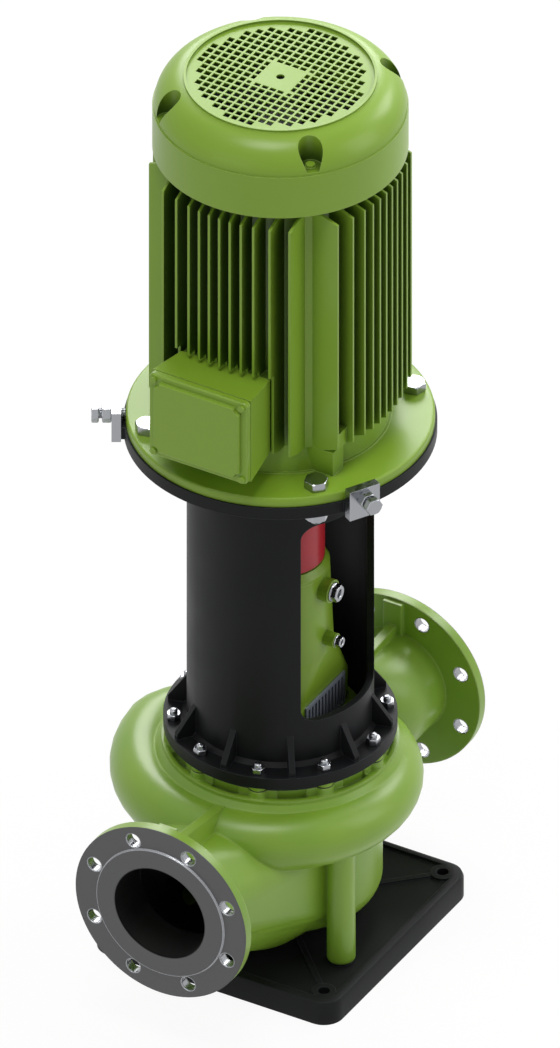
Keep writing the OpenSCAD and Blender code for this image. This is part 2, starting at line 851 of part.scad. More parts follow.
module bearing_bracket() {
    mid = foot_top_z;
    room = block_half - block_wall;
    color(green) difference() {
        union() {
            translate([0, 0, bracket_z])
                round_block(2 * foot_half, 2 * foot_half, 8, foot_plate_t);
            translate([0, 0, mid - 1]) round_block(2 * block_half, 2 * block_half, 6,
                block_top_z - mid + 1);
            hull() {
                translate([0, 0, block_top_z - 1])
                    round_block(2 * block_half - 1, 2 * block_half - 1, 6, 2, $fn = 24);
                translate([0, 0, barrel_low_z - 1]) cylinder(r = barrel_low_r - 0.5, h = 2);
            }
            translate([0, 0, barrel_low_z]) cylinder(r1 = barrel_low_r, r2 = barrel_high_r,
                h = barrel_high_z - barrel_low_z);
            translate([0, 0, filler_z]) rotate([0, 90, 0])
                cylinder(r = filler_boss_r, h = filler_face);
            translate([0, 0, level_z]) rotate([0, 90, 0])
                cylinder(r = level_boss_r, h = level_face);
        }
        translate([0, 0, pump_low_z]) cylinder(r = barrel_bore_r, h = barrel_high_z);
        translate([0, 0, bracket_z - cut])
            cylinder(r = barrel_cavity_r, h = pump_low_z - bracket_z + 2 * cut);
        translate([-room, -room, bracket_z - cut])
            cube([2 * room, 2 * room, block_top_z - bracket_z - 8]);
        for (a = [0, 90]) rotate([0, 0, a])
            translate([-block_half - cut, -block_window_w / 2, foot_top_z])
                cube([2 * block_half + 2 * cut, block_window_w, block_top_z - foot_top_z]);
        translate([barrel_cavity_r, 0, filler_z]) rotate([0, 90, 0])
            cylinder(r = filler_stem_r, h = filler_face);
        translate([barrel_cavity_r, 0, level_z]) rotate([0, 90, 0])
            cylinder(r = level_stem_r, h = level_face);
        bracket_bolt_places() translate([0, 0, bracket_z - cut])
            cylinder(r = bracket_screw_r + bolt_play, h = foot_plate_t + 2 * cut);
        bracket_bolt_places() translate([0, 0, foot_top_z]) cylinder(r = 12, h = 14);
    }
}

module bracket_screws() {
    color(steel) bracket_bolt_places() {
        translate([0, 0, cover_top_z - bracket_screw_in])
            cylinder(r = bracket_screw_r, h = foot_plate_t + bracket_screw_in);
        translate([0, 0, foot_top_z]) hex(bracket_screw_af, bracket_head_h);
    }
}

module guards() {
    h = block_top_z - foot_top_z;
    pitch = block_window_w / guard_slots;
    color([0.3, 0.31, 0.32]) for (s = [0, 180]) rotate([0, 0, s])
        translate([block_half, -block_window_w / 2 - 4, foot_top_z]) difference() {
            cube([guard_t, block_window_w + 8, h]);
            for (i = [0 : guard_slots - 1])
                translate([-cut, 4 + (i + 0.25) * pitch, 6])
                    cube([guard_t + 2 * cut, pitch / 2, h - 12]);
        }
}

// A plug lies along +X, with its collar on the face of its boss.
module plug(collar_r, collar_t, af, hex_h, stem_r) {
    rotate([0, 90, 0]) {
        cylinder(r = collar_r, h = collar_t);
        translate([0, 0, collar_t]) hex(af, hex_h);
        translate([0, 0, -plug_in]) cylinder(r = stem_r, h = plug_in + 1);
    }
}

module filler_plug() {
    color(steel) translate([filler_face, 0, filler_z])
        plug(filler_collar_r, 3, filler_af, 9, filler_stem_r);
}

module level_plug() {
    color(steel) translate([level_face, 0, level_z])
        plug(level_collar_r, 2, level_af, 8, level_stem_r);
}

module bearing_cover() {
    spigot = barrel_high_z - pump_high_z - pump_bearing_w;
    color(green) difference() {
        union() {
            translate([0, 0, barrel_high_z - spigot]) cylinder(r = barrel_bore_r, h = spigot);
            translate([0, 0, barrel_high_z]) cylinder(r = barrel_high_r, h = bearing_lip_h);
            translate([0, 0, barrel_high_z + bearing_lip_h])
                cylinder(r1 = barrel_high_r, r2 = barrel_high_r - 7, h = bearing_cone_h);
        }
        translate([0, 0, barrel_high_z - spigot - cut]) cylinder(r = 48, h = spigot);
        translate([0, 0, barrel_high_z - cut])
            cylinder(r = pump_shaft_r + run_gap, h = 30);
    }
}

// Ball bearings. The four sets share these modules.

function pitch_r(inner, outer) = (inner + outer) / 2;

module groove(inner, outer, w, ball) {
    translate([0, 0, w / 2]) rotate_extrude()
        translate([pitch_r(inner, outer), 0]) circle(ball + ball_play);
}

module outer_ring(inner, outer, w, ball) {
    difference() {
        ring(outer, pitch_r(inner, outer) + ball * 0.6, w);
        groove(inner, outer, w, ball);
    }
}

module inner_ring(inner, outer, w, ball) {
    difference() {
        ring(pitch_r(inner, outer) - ball * 0.6, inner, w);
        groove(inner, outer, w, ball);
    }
}

module balls(inner, outer, w, ball) {
    for (i = [0 : ball_count - 1])
        at_polar(pitch_r(inner, outer), i * 360 / ball_count, w / 2) sphere(r = ball);
}

module cage(inner, outer, w, ball) {
    p = pitch_r(inner, outer);
    h = 2 * ball + 5;
    difference() {
        translate([0, 0, w / 2 - h / 2]) ring(p + ball * 0.3, p - ball * 0.3, h);
        for (i = [0 : ball_count - 1])
            rotate([0, 0, i * 360 / ball_count]) translate([0, 0, w / 2]) rotate([0, 90, 0])
                cylinder(r = ball + 0.3, h = 2 * outer);
    }
}

module pump_places() {
    for (z = [pump_low_z, pump_high_z]) translate([0, 0, z]) children();
}

module pump_outer_rings() {
    color(steel) pump_places()
        outer_ring(pump_shaft_r, pump_bearing_r, pump_bearing_w, pump_ball_r);
}

module pump_inner_rings() {
    color(steel) pump_places()
        inner_ring(pump_shaft_r, pump_bearing_r, pump_bearing_w, pump_ball_r);
}

module pump_balls() {
    color(steel) pump_places()
        balls(pump_shaft_r, pump_bearing_r, pump_bearing_w, pump_ball_r);
}

module pump_cages() {
    color([0.7, 0.55, 0.3]) pump_places()
        cage(pump_shaft_r, pump_bearing_r, pump_bearing_w, pump_ball_r);
}

module motor_outer_rings() {
    color(steel) {
        translate([0, 0, motor_low_z])
            outer_ring(motor_shaft_r, motor_bearing_r, motor_bearing_w, motor_ball_r);
        translate([0, 0, motor_top_z])
            outer_ring(motor_top_shaft_r, motor_top_bearing_r, motor_top_bearing_w, pump_ball_r);
    }
}

module motor_inner_rings() {
    color(steel) {
        translate([0, 0, motor_low_z])
            inner_ring(motor_shaft_r, motor_bearing_r, motor_bearing_w, motor_ball_r);
        translate([0, 0, motor_top_z])
            inner_ring(motor_top_shaft_r, motor_top_bearing_r, motor_top_bearing_w, pump_ball_r);
    }
}

module motor_balls() {
    color(steel) {
        translate([0, 0, motor_low_z])
            balls(motor_shaft_r, motor_bearing_r, motor_bearing_w, motor_ball_r);
        translate([0, 0, motor_top_z])
            balls(motor_top_shaft_r, motor_top_bearing_r, motor_top_bearing_w, pump_ball_r);
    }
}

module motor_cages() {
    color([0.7, 0.55, 0.3]) {
        translate([0, 0, motor_low_z])
            cage(motor_shaft_r, motor_bearing_r, motor_bearing_w, motor_ball_r);
        translate([0, 0, motor_top_z])
            cage(motor_top_shaft_r, motor_top_bearing_r, motor_top_bearing_w, pump_ball_r);
    }
}

// Lantern.

// A window's opening as seen along its own direction.
module window_cut(a) {
    w = 2 * lantern_r * sin(window_a / 2);
    h = window_high_z - window_low_z;
    rotate([0, 0, a]) translate([0, 0, window_low_z + h / 2]) rotate([90, 0, 90])
        linear_extrude(lantern_r + 20) round_square(w, h, window_corner_r);
}

module gusset() {
    reach = gusset_out_r - lantern_r;
    translate([lantern_r - 4, gusset_t / 2, lantern_foot_z]) rotate([90, 0, 0])
        linear_extrude(gusset_t)
            polygon([[0, -1], [reach + 4, -1], [reach + 4, 8], [4, gusset_h], [0, gusset_h]]);
}

module lantern() {
    color(black) difference() {
        union() {
            translate([0, 0, lantern_z]) cylinder(r = lantern_foot_r, h = lantern_foot_t);
            translate([0, 0, lantern_z]) cylinder(r = lantern_r, h = motor_seat_z - lantern_z);
            translate([0, 0, lantern_foot_z]) cylinder(r1 = lantern_r + 6, r2 = lantern_r, h = 6);
            translate([0, 0, lantern_head_z]) cylinder(r = lantern_head_r, h = lantern_head_t);
            for (i = [0 : stud_count - 1]) rotate([0, 0, (i + 0.5) * 360 / stud_count]) gusset();
            for (a = leg_angles) rotate([0, 0, a])
                translate([lantern_head_r - 8, -jack_w / 2, lantern_head_z])
                    cube([jack_at - lantern_head_r + 8, jack_w, lantern_head_t]);
        }
        translate([0, 0, lantern_z - cut])
            cylinder(r = lantern_in_r, h = motor_seat_z - lantern_z + 2 * cut);
        window_cut(window_mid_a);
        window_cut(window_mid_a + 180);
        stud_holes(stud_r + bolt_play, lantern_z - cut, lantern_foot_t + 2 * cut);
        for (a = corner_angles) at_polar(motor_pcd / 2, a, lantern_head_z - cut)
            cylinder(r = motor_bolt_r + bolt_play, h = lantern_head_t + 2 * cut);
    }
}

module casing_studs() {
    low = casing_top_z - stud_in + 2;
    top = nut_z + stud_nut_h + stud_out;
    color(steel) for (i = [0 : stud_count - 1])
        at_polar(stud_pcd / 2, i * 360 / stud_count, low) {
            cylinder(r = stud_r, h = top - low - 2);
            translate([0, 0, top - low - 2]) cylinder(r1 = stud_r, r2 = stud_r - 2, h = 2);
        }
}

module casing_nuts() {
    color(steel) for (i = [0 : stud_count - 1])
        at_polar(stud_pcd / 2, i * 360 / stud_count, nut_z) difference() {
            intersection() {
                hex(stud_nut_af, stud_nut_h);
                cylinder(r1 = stud_nut_af * 0.55 + stud_nut_h, r2 = stud_nut_af * 0.55 - 1,
                    h = stud_nut_h);
            }
            translate([0, 0, -cut]) cylinder(r = stud_r, h = stud_nut_h + 2 * cut);
        }
}

// Motor.

// Offsets of one side's fins from its middle, as fractions of the outermost.
fin_steps = [0, 0.164, 0.33, 0.51, 0.736, 1];

function fin_end(x) = fin_tip - fin_arc_r + sqrt(fin_arc_r * fin_arc_r - x * x);

// Where a fin at x starts, in the middle of the wall.
function fin_root(x) = sqrt(wall_mid_r * wall_mid_r - x * x);

// One foot stands at each corner, flush with the outermost fin and as wide as the next gap.
module corner_foot() {
    inner = fin_steps[4] * fin_span;
    translate([inner, fin_root(fin_span), flange_top_z - 1])
        cube([fin_span + fin_t / 2 - inner, fin_end(fin_span) - fin_fill - fin_root(fin_span),
            frame_z - flange_top_z + 1]);
}

module drive_shield() {
    edge = 4;
    color(green) difference() {
        union() {
            translate([0, 0, motor_seat_z]) cylinder(r = motor_flange_r, h = motor_flange_t - edge);
            translate([0, 0, motor_seat_z]) cylinder(r = motor_flange_r - edge, h = motor_flange_t);
            translate([0, 0, flange_top_z - edge]) rotate_extrude()
                translate([motor_flange_r - edge, 0]) circle(edge);
            translate([0, 0, flange_top_z - 1]) cylinder(r = shield_foot_r + 4, h = 2);
            translate([0, 0, flange_top_z]) cylinder(r1 = shield_foot_r, r2 = frame_r,
                h = frame_z - flange_top_z);
            for (i = [0 : 3]) rotate([0, 0, i * 90]) corner_foot();
            translate([0, 0, motor_seat_z - 6]) cylinder(r = register_r - fit_play, h = 7);
        }
        difference() {
            translate([0, 0, flange_top_z]) cylinder(r = motor_room_r, h = shield_h);
            translate([0, 0, flange_top_z - cut]) cylinder(r = bearing_hub_r,
                h = motor_low_z + motor_bearing_w - flange_top_z + 1 + cut);
        }
        translate([0, 0, motor_low_z]) cylinder(r = motor_bearing_r, h = shield_h);
        translate([0, 0, motor_seat_z - 10]) cylinder(r = motor_shaft_r + run_gap, h = shield_h);
        for (a = corner_angles) at_polar(motor_pcd / 2, a, motor_seat_z - cut)
            cylinder(r = motor_bolt_r + bolt_play, h = motor_flange_t + 2 * cut);
    }
}

module fin_section() {
    for (i = [0 : 3]) rotate(i * 90) {
        for (f = fin_steps, s = [-1, 1]) {
            x = f * fin_span * s;
            translate([x - fin_t / 2, fin_root(x)]) square([fin_t, fin_end(x) - fin_root(x)]);
        }
        translate([fin_span, fin_span])
            polygon([[0, 0], [fin_t + fin_fill, 0], [0, fin_t + fin_fill]]);
    }
}

// A ring about the middle of the arc that the fin tips follow. It cuts the slants of one side
// at the height z, at the fins' upper ends (way 1) or their lower ends (way -1).
module fin_slants(z, way) {
    translate([0, fin_tip - fin_arc_r, z]) rotate_extrude() polygon([
        [fin_arc_r - 2 * fin_slant, way * fin_fall],
        [fin_arc_r + fin_slant, -2 * way * fin_fall],
        [fin_arc_r + fin_slant, way * fin_fall]]);
}

module motor_frame() {
    pad_w = box_w - 2 * box_taper - 4;
    inner = fin_steps[4] * fin_span;
    color(green) difference() {
        union() {
            translate([0, 0, frame_z]) linear_extrude(frame_len) {
                circle(frame_r);
                fin_section();
            }
            for (i = [0 : 3]) rotate([0, 0, i * 90])
                translate([inner, fin_root(fin_span), frame_z])
                    cube([fin_span - inner, fin_end(fin_span) - fin_root(fin_span) - 1, lug_h]);
            translate([-pad_w / 2, -pad_face, frame_z])
                cube([pad_w, pad_face - frame_bore_r / 2, box_z + box_h - frame_z - 8]);
        }
        translate([0, 0, frame_z - cut]) cylinder(r = frame_bore_r, h = frame_len + 2 * cut);
        translate([-box_w / 2, -pad_face - 40, frame_z - cut])
            cube([box_w, 40, box_z + box_h - frame_z + cut + 1]);
        for (i = [0 : 3]) rotate([0, 0, i * 90]) {
            fin_slants(frame_top_z, 1);
            fin_slants(frame_z, -1);
        }
    }
}

module stator_core() {
    color([0.4, 0.4, 0.42]) translate([0, 0, core_z])
        ring(frame_bore_r, stator_bore_r, core_len);
}

module winding_head() {
    rotate_extrude() translate([winding_mid_r, 0]) {
        translate([-winding_w / 2, 0]) square([winding_w, winding_h - winding_w / 2]);
        translate([0, winding_h - winding_w / 2]) circle(winding_w / 2);
    }
}

module stator_windings() {
    color([0.6, 0.32, 0.15]) {
        translate([0, 0, core_z]) rotate([180, 0, 0]) winding_head();
        translate([0, 0, core_z + core_len]) winding_head();
    }
}

module end_shield() {
    post_h = pocket_floor_z - cowl_t - end_rim_z;
    color(green) difference() {
        union() {
            translate([0, 0, frame_top_z]) cylinder(r = skirt_r, h = end_disc_t);
            translate([0, 0, frame_top_z])
                ring(skirt_r, skirt_r - skirt_t, end_rim_z - frame_top_z);
            translate([0, 0, end_rim_z - end_rim_t])
                ring(end_rim_r, skirt_r - skirt_t, end_rim_t);
            translate([0, 0, frame_top_z - 6])
                cylinder(r = frame_bore_r - fit_play, h = 7);
            translate([0, 0, motor_top_z - 2]) cylinder(r = top_hub_r,
                h = motor_top_bearing_w + 8);
            for (a = corner_angles) at_polar(cowl_screw_at, a, end_rim_z - 1)
                cylinder(r = post_r, h = post_h + 1);
        }
        translate([0, 0, motor_top_z - 2 - cut])
            cylinder(r = motor_top_bearing_r, h = motor_top_bearing_w + 2 + cut);
        translate([0, 0, motor_top_z]) cylinder(r = motor_top_shaft_r + run_gap, h = 60);
        for (a = corner_angles)
            at_polar(cowl_screw_at, a, end_rim_z + post_h - cowl_screw_in - 2)
                cylinder(r = cowl_screw_r, h = cowl_screw_in + 2 + cut);
    }
}

// Fan cowl.

// One grille hole from its column and row: its middle, clipped at the blank square.
function hole_span(c, other) = let (h = (grille_pitch - grille_bar) / 2)
    abs(c) > grille_blank || abs(other) > grille_blank
        ? (abs(c) > grille_blank && abs(c) - h < grille_blank && abs(other) - h < grille_blank
            ? (c > 0 ? [grille_blank, c + h] : [c - h, -grille_blank])
            : [c - h, c + h])
        : [0, 0];

module grille_holes() {
    n = ceil(grille_r / grille_pitch);
    h = (grille_pitch - grille_bar) / 2;
    cells = [for (i = [-n : n - 1], j = [-n : n - 1])
        let (x = (i + 0.5) * grille_pitch, y = (j + 0.5) * grille_pitch)
        if (norm([abs(x) + h, abs(y) + h]) < grille_r + 2
            && (abs(x) > grille_blank || abs(y) > grille_blank))
            [hole_span(x, y), hole_span(y, x)]];
    corners = [for (c = cells, q = [[0, 0], [1, 0], [1, 1], [0, 1]]) [c[0][q[0]], c[1][q[1]]]];
    polygon(corners, [for (k = [0 : len(cells) - 1]) [for (m = [0 : 3]) 4 * k + m]]);
    circle(grille_hole_d / 2);
}

module dome_outline(r, h) {
    translate([dome_mid_r, 0]) intersection() {
        circle(r);
        square([2 * r, r]);
    }
    square([dome_mid_r + 0.5, h]);
}

module cowl_shell() {
    difference() {
        union() {
            translate([0, 0, cowl_z]) cylinder(r = cowl_r, h = cowl_band_h);
            translate([0, 0, cowl_band_z]) rotate_extrude() dome_outline(dome_h, dome_h);
            translate([0, 0, total_h - 10]) cylinder(r = cowl_flat_r + 3, h = 10);
        }
        translate([0, 0, cowl_z - cut])
            cylinder(r = cowl_in_r, h = cowl_band_h + 2 * cut);
        translate([0, 0, cowl_band_z]) rotate_extrude()
            dome_outline(dome_h - cowl_t, dome_h - cowl_t);
        translate([0, 0, cowl_band_z]) cylinder(r = cowl_flat_r - 1, h = dome_h + 10);
    }
}

module fan_cowl() {
    color(green) difference() {
        union() {
            difference() {
                cowl_shell();
                for (a = corner_angles) at_polar(cowl_screw_at, a, pocket_floor_z)
                    cylinder(r = pocket_r, h = dome_h);
            }
            translate([0, 0, grille_z - cowl_t]) linear_extrude(cowl_t) difference() {
                circle(cowl_flat_r + 0.5);
                grille_holes();
            }
            intersection() {
                for (a = corner_angles) at_polar(cowl_screw_at, a, pocket_floor_z - cowl_t)
                    difference() {
                        cylinder(r = pocket_r + cowl_t, h = dome_h);
                        translate([0, 0, cowl_t]) cylinder(r = pocket_r, h = dome_h);
                    }
                translate([0, 0, cowl_band_z]) rotate_extrude() dome_outline(dome_h, dome_h);
            }
        }
        for (a = corner_angles) at_polar(cowl_screw_at, a, cowl_band_z)
            cylinder(r = cowl_screw_r + bolt_play / 2, h = dome_h);
    }
}

module cowl_screws() {
    color(green) for (a = corner_angles) at_polar(cowl_screw_at, a, pocket_floor_z) {
        cylinder(r = 2 * cowl_screw_r, h = 1.5);
        translate([0, 0, 1.5]) hex(3.2 * cowl_screw_r, cowl_screw_r);
        translate([0, 0, -cowl_screw_in]) cylinder(r = cowl_screw_r, h = cowl_screw_in + 1);
    }
}

module fan() {
    color([0.12, 0.12, 0.13]) difference() {
        union() {
            translate([0, 0, fan_z]) cylinder(r = 34, h = fan_h);
            translate([0, 0, fan_z]) cylinder(r = fan_r, h = 4);
            for (i = [0 : 7]) rotate([0, 0, i * 45])
                translate([fan_bore_r + 1, -2, fan_z])
                    cube([fan_r - fan_bore_r - 3, 4, fan_h - 2]);
        }
        translate([0, 0, fan_z - cut]) cylinder(r = fan_bore_r, h = fan_h - fan_cap + cut);
    }
}

module motor_bolts() {
    low = lantern_head_z - washer_t - motor_nut_h - 7;
    color(steel) for (a = corner_angles) at_polar(motor_pcd / 2, a) {
        translate([0, 0, flange_top_z]) intersection() {
            hex(motor_bolt_af, motor_head_h);
            cylinder(r1 = motor_bolt_af * 0.56 + motor_head_h, r2 = motor_bolt_af * 0.56 - 1.5,
                h = motor_head_h);
        }
        translate([0, 0, low]) cylinder(r = motor_bolt_r, h = flange_top_z - low + 1);
    }
}

module motor_washers() {
    color(steel) for (a = corner_angles)
        at_polar(motor_pcd / 2, a, lantern_head_z - washer_t)
            ring(motor_bolt_af * 0.56, motor_bolt_r + bolt_play / 2, washer_t);
}

module motor_nuts() {
    color(steel) for (a = corner_angles)
        at_polar(motor_pcd / 2, a, lantern_head_z - washer_t - motor_nut_h) difference() {
            hex(motor_bolt_af, motor_nut_h);
            translate([0, 0, -cut]) cylinder(r = motor_bolt_r, h = motor_nut_h + 2 * cut);
        }
}

// Terminal box.

// The box narrows evenly from its face towards the motor.
module box_body(shrink, rear, face) {
    f = box_taper / (box_face - box_rear);
    w1 = box_w / 2 - shrink;
    w2 = w1 - box_taper - f * (box_rear - rear);
    h1 = box_h / 2 - shrink;
    h2 = h1 - box_taper - f * (box_rear - rear);
    intersection() {
        translate([0, 0, box_mid_z - box_h]) linear_extrude(2 * box_h)
            polygon([[-w1, -face], [w1, -face], [w2, -rear], [-w2, -rear]]);
        translate([-box_w, 0, box_mid_z]) rotate([90, 0, 90]) linear_extrude(2 * box_w)
            polygon([[-face, -h1], [-face, h1], [-rear, h2], [-rear, -h2]]);
    }
}

module lid_places() {
    for (x = [-1, 1], z = [-1, 1])
        translate([x * (box_w / 2 - lid_screw_at), 0, box_mid_z + z * (box_h / 2 - lid_screw_at)])
            children();
}

module terminal_box() {
    color(green) difference() {
        union() {
            difference() {
                box_body(0, pad_face, box_face - box_gasket_t);
                box_body(box_wall, pad_face + box_wall, box_face + 10);
            }
            intersection() {
                lid_places() translate([0, -box_face + box_gasket_t, 0]) along_y(8, 30);
                box_body(0, pad_face, box_face);
            }
        }
        lid_places() translate([0, -box_face - cut, 0]) along_y(3, 24);
        for (z = [-1, 1]) translate([-box_w, -(pad_face + box_face) / 2, box_mid_z + z * 30])
            rotate([0, 90, 0]) cylinder(r = 16, h = box_w);
    }
}

module terminal_gasket() {
    color([0.08, 0.08, 0.08]) difference() {
        translate([0, -box_face, box_mid_z]) rotate([-90, 0, 0])
            round_block(box_w - 4, box_h - 4, lid_corner_r - 2, box_gasket_t);
        translate([0, -box_face - cut, box_mid_z]) rotate([-90, 0, 0])
            round_block(box_w - 4 * box_wall - 14, box_h - 4 * box_wall - 14, 8, 10);
        lid_places() translate([0, -box_face - cut, 0]) along_y(3.5, 10);
    }
}

module terminal_lid() {
    color(green) difference() {
        union() {
            translate([0, -box_face - lid_plate_t, box_mid_z]) rotate([-90, 0, 0])
                round_block(box_w, box_h, lid_corner_r, lid_plate_t);
            translate([0, -box_front, box_mid_z]) rotate([-90, 0, 0])
                round_block(box_w - 13, box_h - 13, 3, lid_t - 1);
        }
        lid_places() translate([0, -box_front - cut, 0]) along_y(9.5, lid_t - lid_plate_t + 1);
        lid_places() translate([0, -box_front - cut, 0]) along_y(3.5, 40);
    }
}

module lid_screws() {
    color(green) lid_places() translate([0, -box_face - lid_plate_t, 0]) {
        rotate([90, 0, 0]) cylinder(r = 5, h = 4);
        translate([0, -1, 0]) along_y(3, lid_plate_t + 15);
    }
}

module terminal_block() {
    color([0.85, 0.83, 0.75]) translate([0, -pad_face - box_wall, box_mid_z]) {
        rotate([90, 0, 0]) round_block(90, 60, 4, 20);
    }
    color([0.8, 0.65, 0.3]) for (x = [-28, 0, 28], z = [-16, 16])
        translate([x, -pad_face - box_wall - 19, box_mid_z + z]) rotate([90, 0, 0])
            cylinder(r = 4, h = 15);
}

module entry_plugs() {
    mid_y = -(pad_face + box_face) / 2;
    mid_x = box_w / 2 - box_taper / 2;
    color([0.1, 0.1, 0.1]) for (z = [-1, 1]) translate([-mid_x, mid_y, box_mid_z + z * 30])
        rotate([0, -90, 0]) {
            translate([0, 0, 5]) hex(42, 6);
            translate([0, 0, -5]) cylinder(r = 16, h = 11);
        }
}

// Jacking screws.

module jack_plates() {
    color(steel) for (a = leg_angles) rotate([0, 0, a]) difference() {
        translate([jack_at, -jack_w / 2, motor_seat_z - jack_w / 2])
            cube([jack_t, jack_w, jack_w]);
        translate([jack_at - cut, 0, jack_z]) rotate([0, 90, 0])
            cylinder(r = jack_d / 2 + screw_play, h = jack_t + 2 * cut);
    }
}

module jack_nuts() {
    color(steel) for (a = leg_angles) rotate([0, 0, a])
        translate([jack_at + jack_t, 0, jack_z]) rotate([0, 90, 0]) difference() {
            hex(jack_af, jack_nut_h);
            translate([0, 0, -cut])
                cylinder(r = jack_d / 2 + screw_play, h = jack_nut_h + 2 * cut);
        }
}

module jack_screw(a) {
    head = jack_at + jack_t + jack_nut_h + jack_gap;
    color(steel) rotate([0, 0, a]) translate([0, 0, jack_z]) rotate([0, 90, 0]) {
        translate([0, 0, motor_flange_r + 0.3]) cylinder(r = jack_d / 2, h = head - motor_flange_r);
        translate([0, 0, head]) hex(jack_af, jack_head_h);
    }
}

module jack_screw_right() jack_screw(leg_angles[0]);

module jack_screw_left() jack_screw(leg_angles[1]);

module jack_screw_back() jack_screw(leg_angles[2]);

// Pump rotor.

module pump_shaft() {
    shoulder_z = pump_low_z + pump_bearing_w;
    color(steel) {
        translate([0, 0, impeller_z - 22]) cylinder(r = 10, h = 24);
        translate([0, 0, impeller_z]) cylinder(r = impeller_bore_r, h = impeller_hub_z - impeller_z);
        translate([0, 0, impeller_hub_z])
            cylinder(r = pump_shaft_r, h = coupling_z - impeller_hub_z - 2);
        translate([0, 0, shoulder_z]) cylinder(r = pump_shaft_r + 5, h = pump_high_z - shoulder_z);
        translate([0, 0, coupling_z - 3]) cylinder(r = shaft_end_r, h = pump_end_z - coupling_z + 3);
    }
}

// One blade, curved backwards, between two circles.
module blade() {
    bend_at = 0.46 * impeller_r;
    bend_r = 0.577 * impeller_r;
    difference() {
        translate([bend_at, 0]) circle(bend_r);
        translate([bend_at, 0]) circle(bend_r - 5);
        translate([-impeller_r, -2 * impeller_r]) square(2 * impeller_r);
        circle(impeller_hub_r + 8);
    }
}

module impeller() {
    color([0.62, 0.5, 0.3]) difference() {
        union() {
            translate([0, 0, impeller_z + impeller_b]) cylinder(r = impeller_r, h = shroud_t);
            translate([0, 0, impeller_z]) cylinder(r = impeller_hub_r, h = impeller_hub_z - impeller_z);
            translate([0, 0, impeller_z - shroud_t]) ring(impeller_r, eye_r, shroud_t);
            translate([0, 0, impeller_neck_z])
                ring(eye_out_r, eye_r, impeller_z - impeller_neck_z);
            translate([0, 0, impeller_z - 0.5]) linear_extrude(impeller_b + 1) intersection() {
                circle(impeller_r - 1);
                for (i = [0 : blade_count - 1]) rotate(i * 360 / blade_count) blade();
            }
        }
        translate([0, 0, impeller_z - cut]) cylinder(r = impeller_bore_r,
            h = impeller_hub_z - impeller_z + 2 * cut);
    }
}

module impeller_nut() {
    color(steel) translate([0, 0, impeller_z - 16]) difference() {
        hex(34, 16);
        translate([0, 0, -cut]) cylinder(r = 10, h = 16 + 2 * cut);
    }
}

module seal_head() {
    color(dark_steel) translate([0, 0, impeller_hub_z + 2]) {
        ring(seal_room_r - 10, pump_shaft_r, seal_face_z - impeller_hub_z - 10);
        translate([0, 0, seal_face_z - impeller_hub_z - 10])
            ring(seal_room_r - 14, pump_shaft_r, 8 - 0.3);
    }
}

// Jaws of one hub, as sectors of a ring.
module jaws(turn) {
    for (i = [0 : 2]) rotate([0, 0, turn + i * 120 - jaw_a / 2])
        rotate_extrude(angle = jaw_a)
            translate([coupling_r * 0.45, 0]) square([coupling_r * 0.54, jaw_len - 1]);
}

module lower_hub() {
    color(red) difference() {
        union() {
            translate([0, 0, coupling_z]) cylinder(r = coupling_r, h = hub_len);
            translate([0, 0, jaw_z - 1]) jaws(0);
        }
        translate([0, 0, coupling_z - cut]) cylinder(r = shaft_end_r, h = hub_len + 40);
    }
}

module upper_hub() {
    color(red) difference() {
        union() {
            translate([0, 0, upper_hub_z]) cylinder(r = coupling_r, h = hub_len);
            translate([0, 0, jaw_z + 2]) jaws(60);
        }
        translate([0, 0, jaw_z - cut]) cylinder(r = shaft_end_r + 4, h = hub_len + 60);
    }
}

module spider() {
    reach = coupling_r * 0.97;
    color([0.15, 0.15, 0.16]) translate([0, 0, jaw_z + 0.3])
        linear_extrude(jaw_len - 0.6) difference() {
            union() {
                circle(coupling_r * 0.43);
                intersection() {
                    circle(reach);
                    for (i = [0 : 5]) rotate(30 + i * 60) polygon([[0, 0],
                        [2 * reach, -2 * reach * tan(spider_a / 2)],
                        [2 * reach, 2 * reach * tan(spider_a / 2)]]);
                }
            }
            circle(16);
        }
}

// Motor rotor.

module motor_shaft() {
    core_low = core_z - 6;
    core_high = core_z + core_len + 6;
    color(steel) {
        translate([0, 0, motor_end_z])
            cylinder(r = shaft_end_r + 4, h = motor_seat_z + 4 - motor_end_z);
        translate([0, 0, motor_seat_z + 2])
            cylinder(r = motor_shaft_r, h = motor_low_z + motor_bearing_w - motor_seat_z);
        translate([0, 0, motor_low_z + motor_bearing_w])
            cylinder(r = motor_shaft_r + 7, h = core_low - motor_low_z - motor_bearing_w);
        translate([0, 0, core_low]) cylinder(r = motor_shaft_r + 12, h = core_high - core_low);
        translate([0, 0, core_high]) cylinder(r = motor_shaft_r, h = motor_top_z - core_high);
        translate([0, 0, motor_top_z - 1])
            cylinder(r = motor_top_shaft_r, h = motor_top_bearing_w + 5);
        translate([0, 0, motor_top_z])
            cylinder(r = fan_bore_r, h = fan_z + fan_h - fan_cap - 0.5 - motor_top_z);
    }
}

module rotor_core() {
    color([0.4, 0.4, 0.42]) translate([0, 0, core_z])
        ring(stator_bore_r - air_gap, motor_shaft_r + 12, core_len);
    color("silver") for (z = [core_z - 14, core_z + core_len]) translate([0, 0, z])
        ring(stator_bore_r - air_gap - 4, stator_bore_r - 24, 14);
}

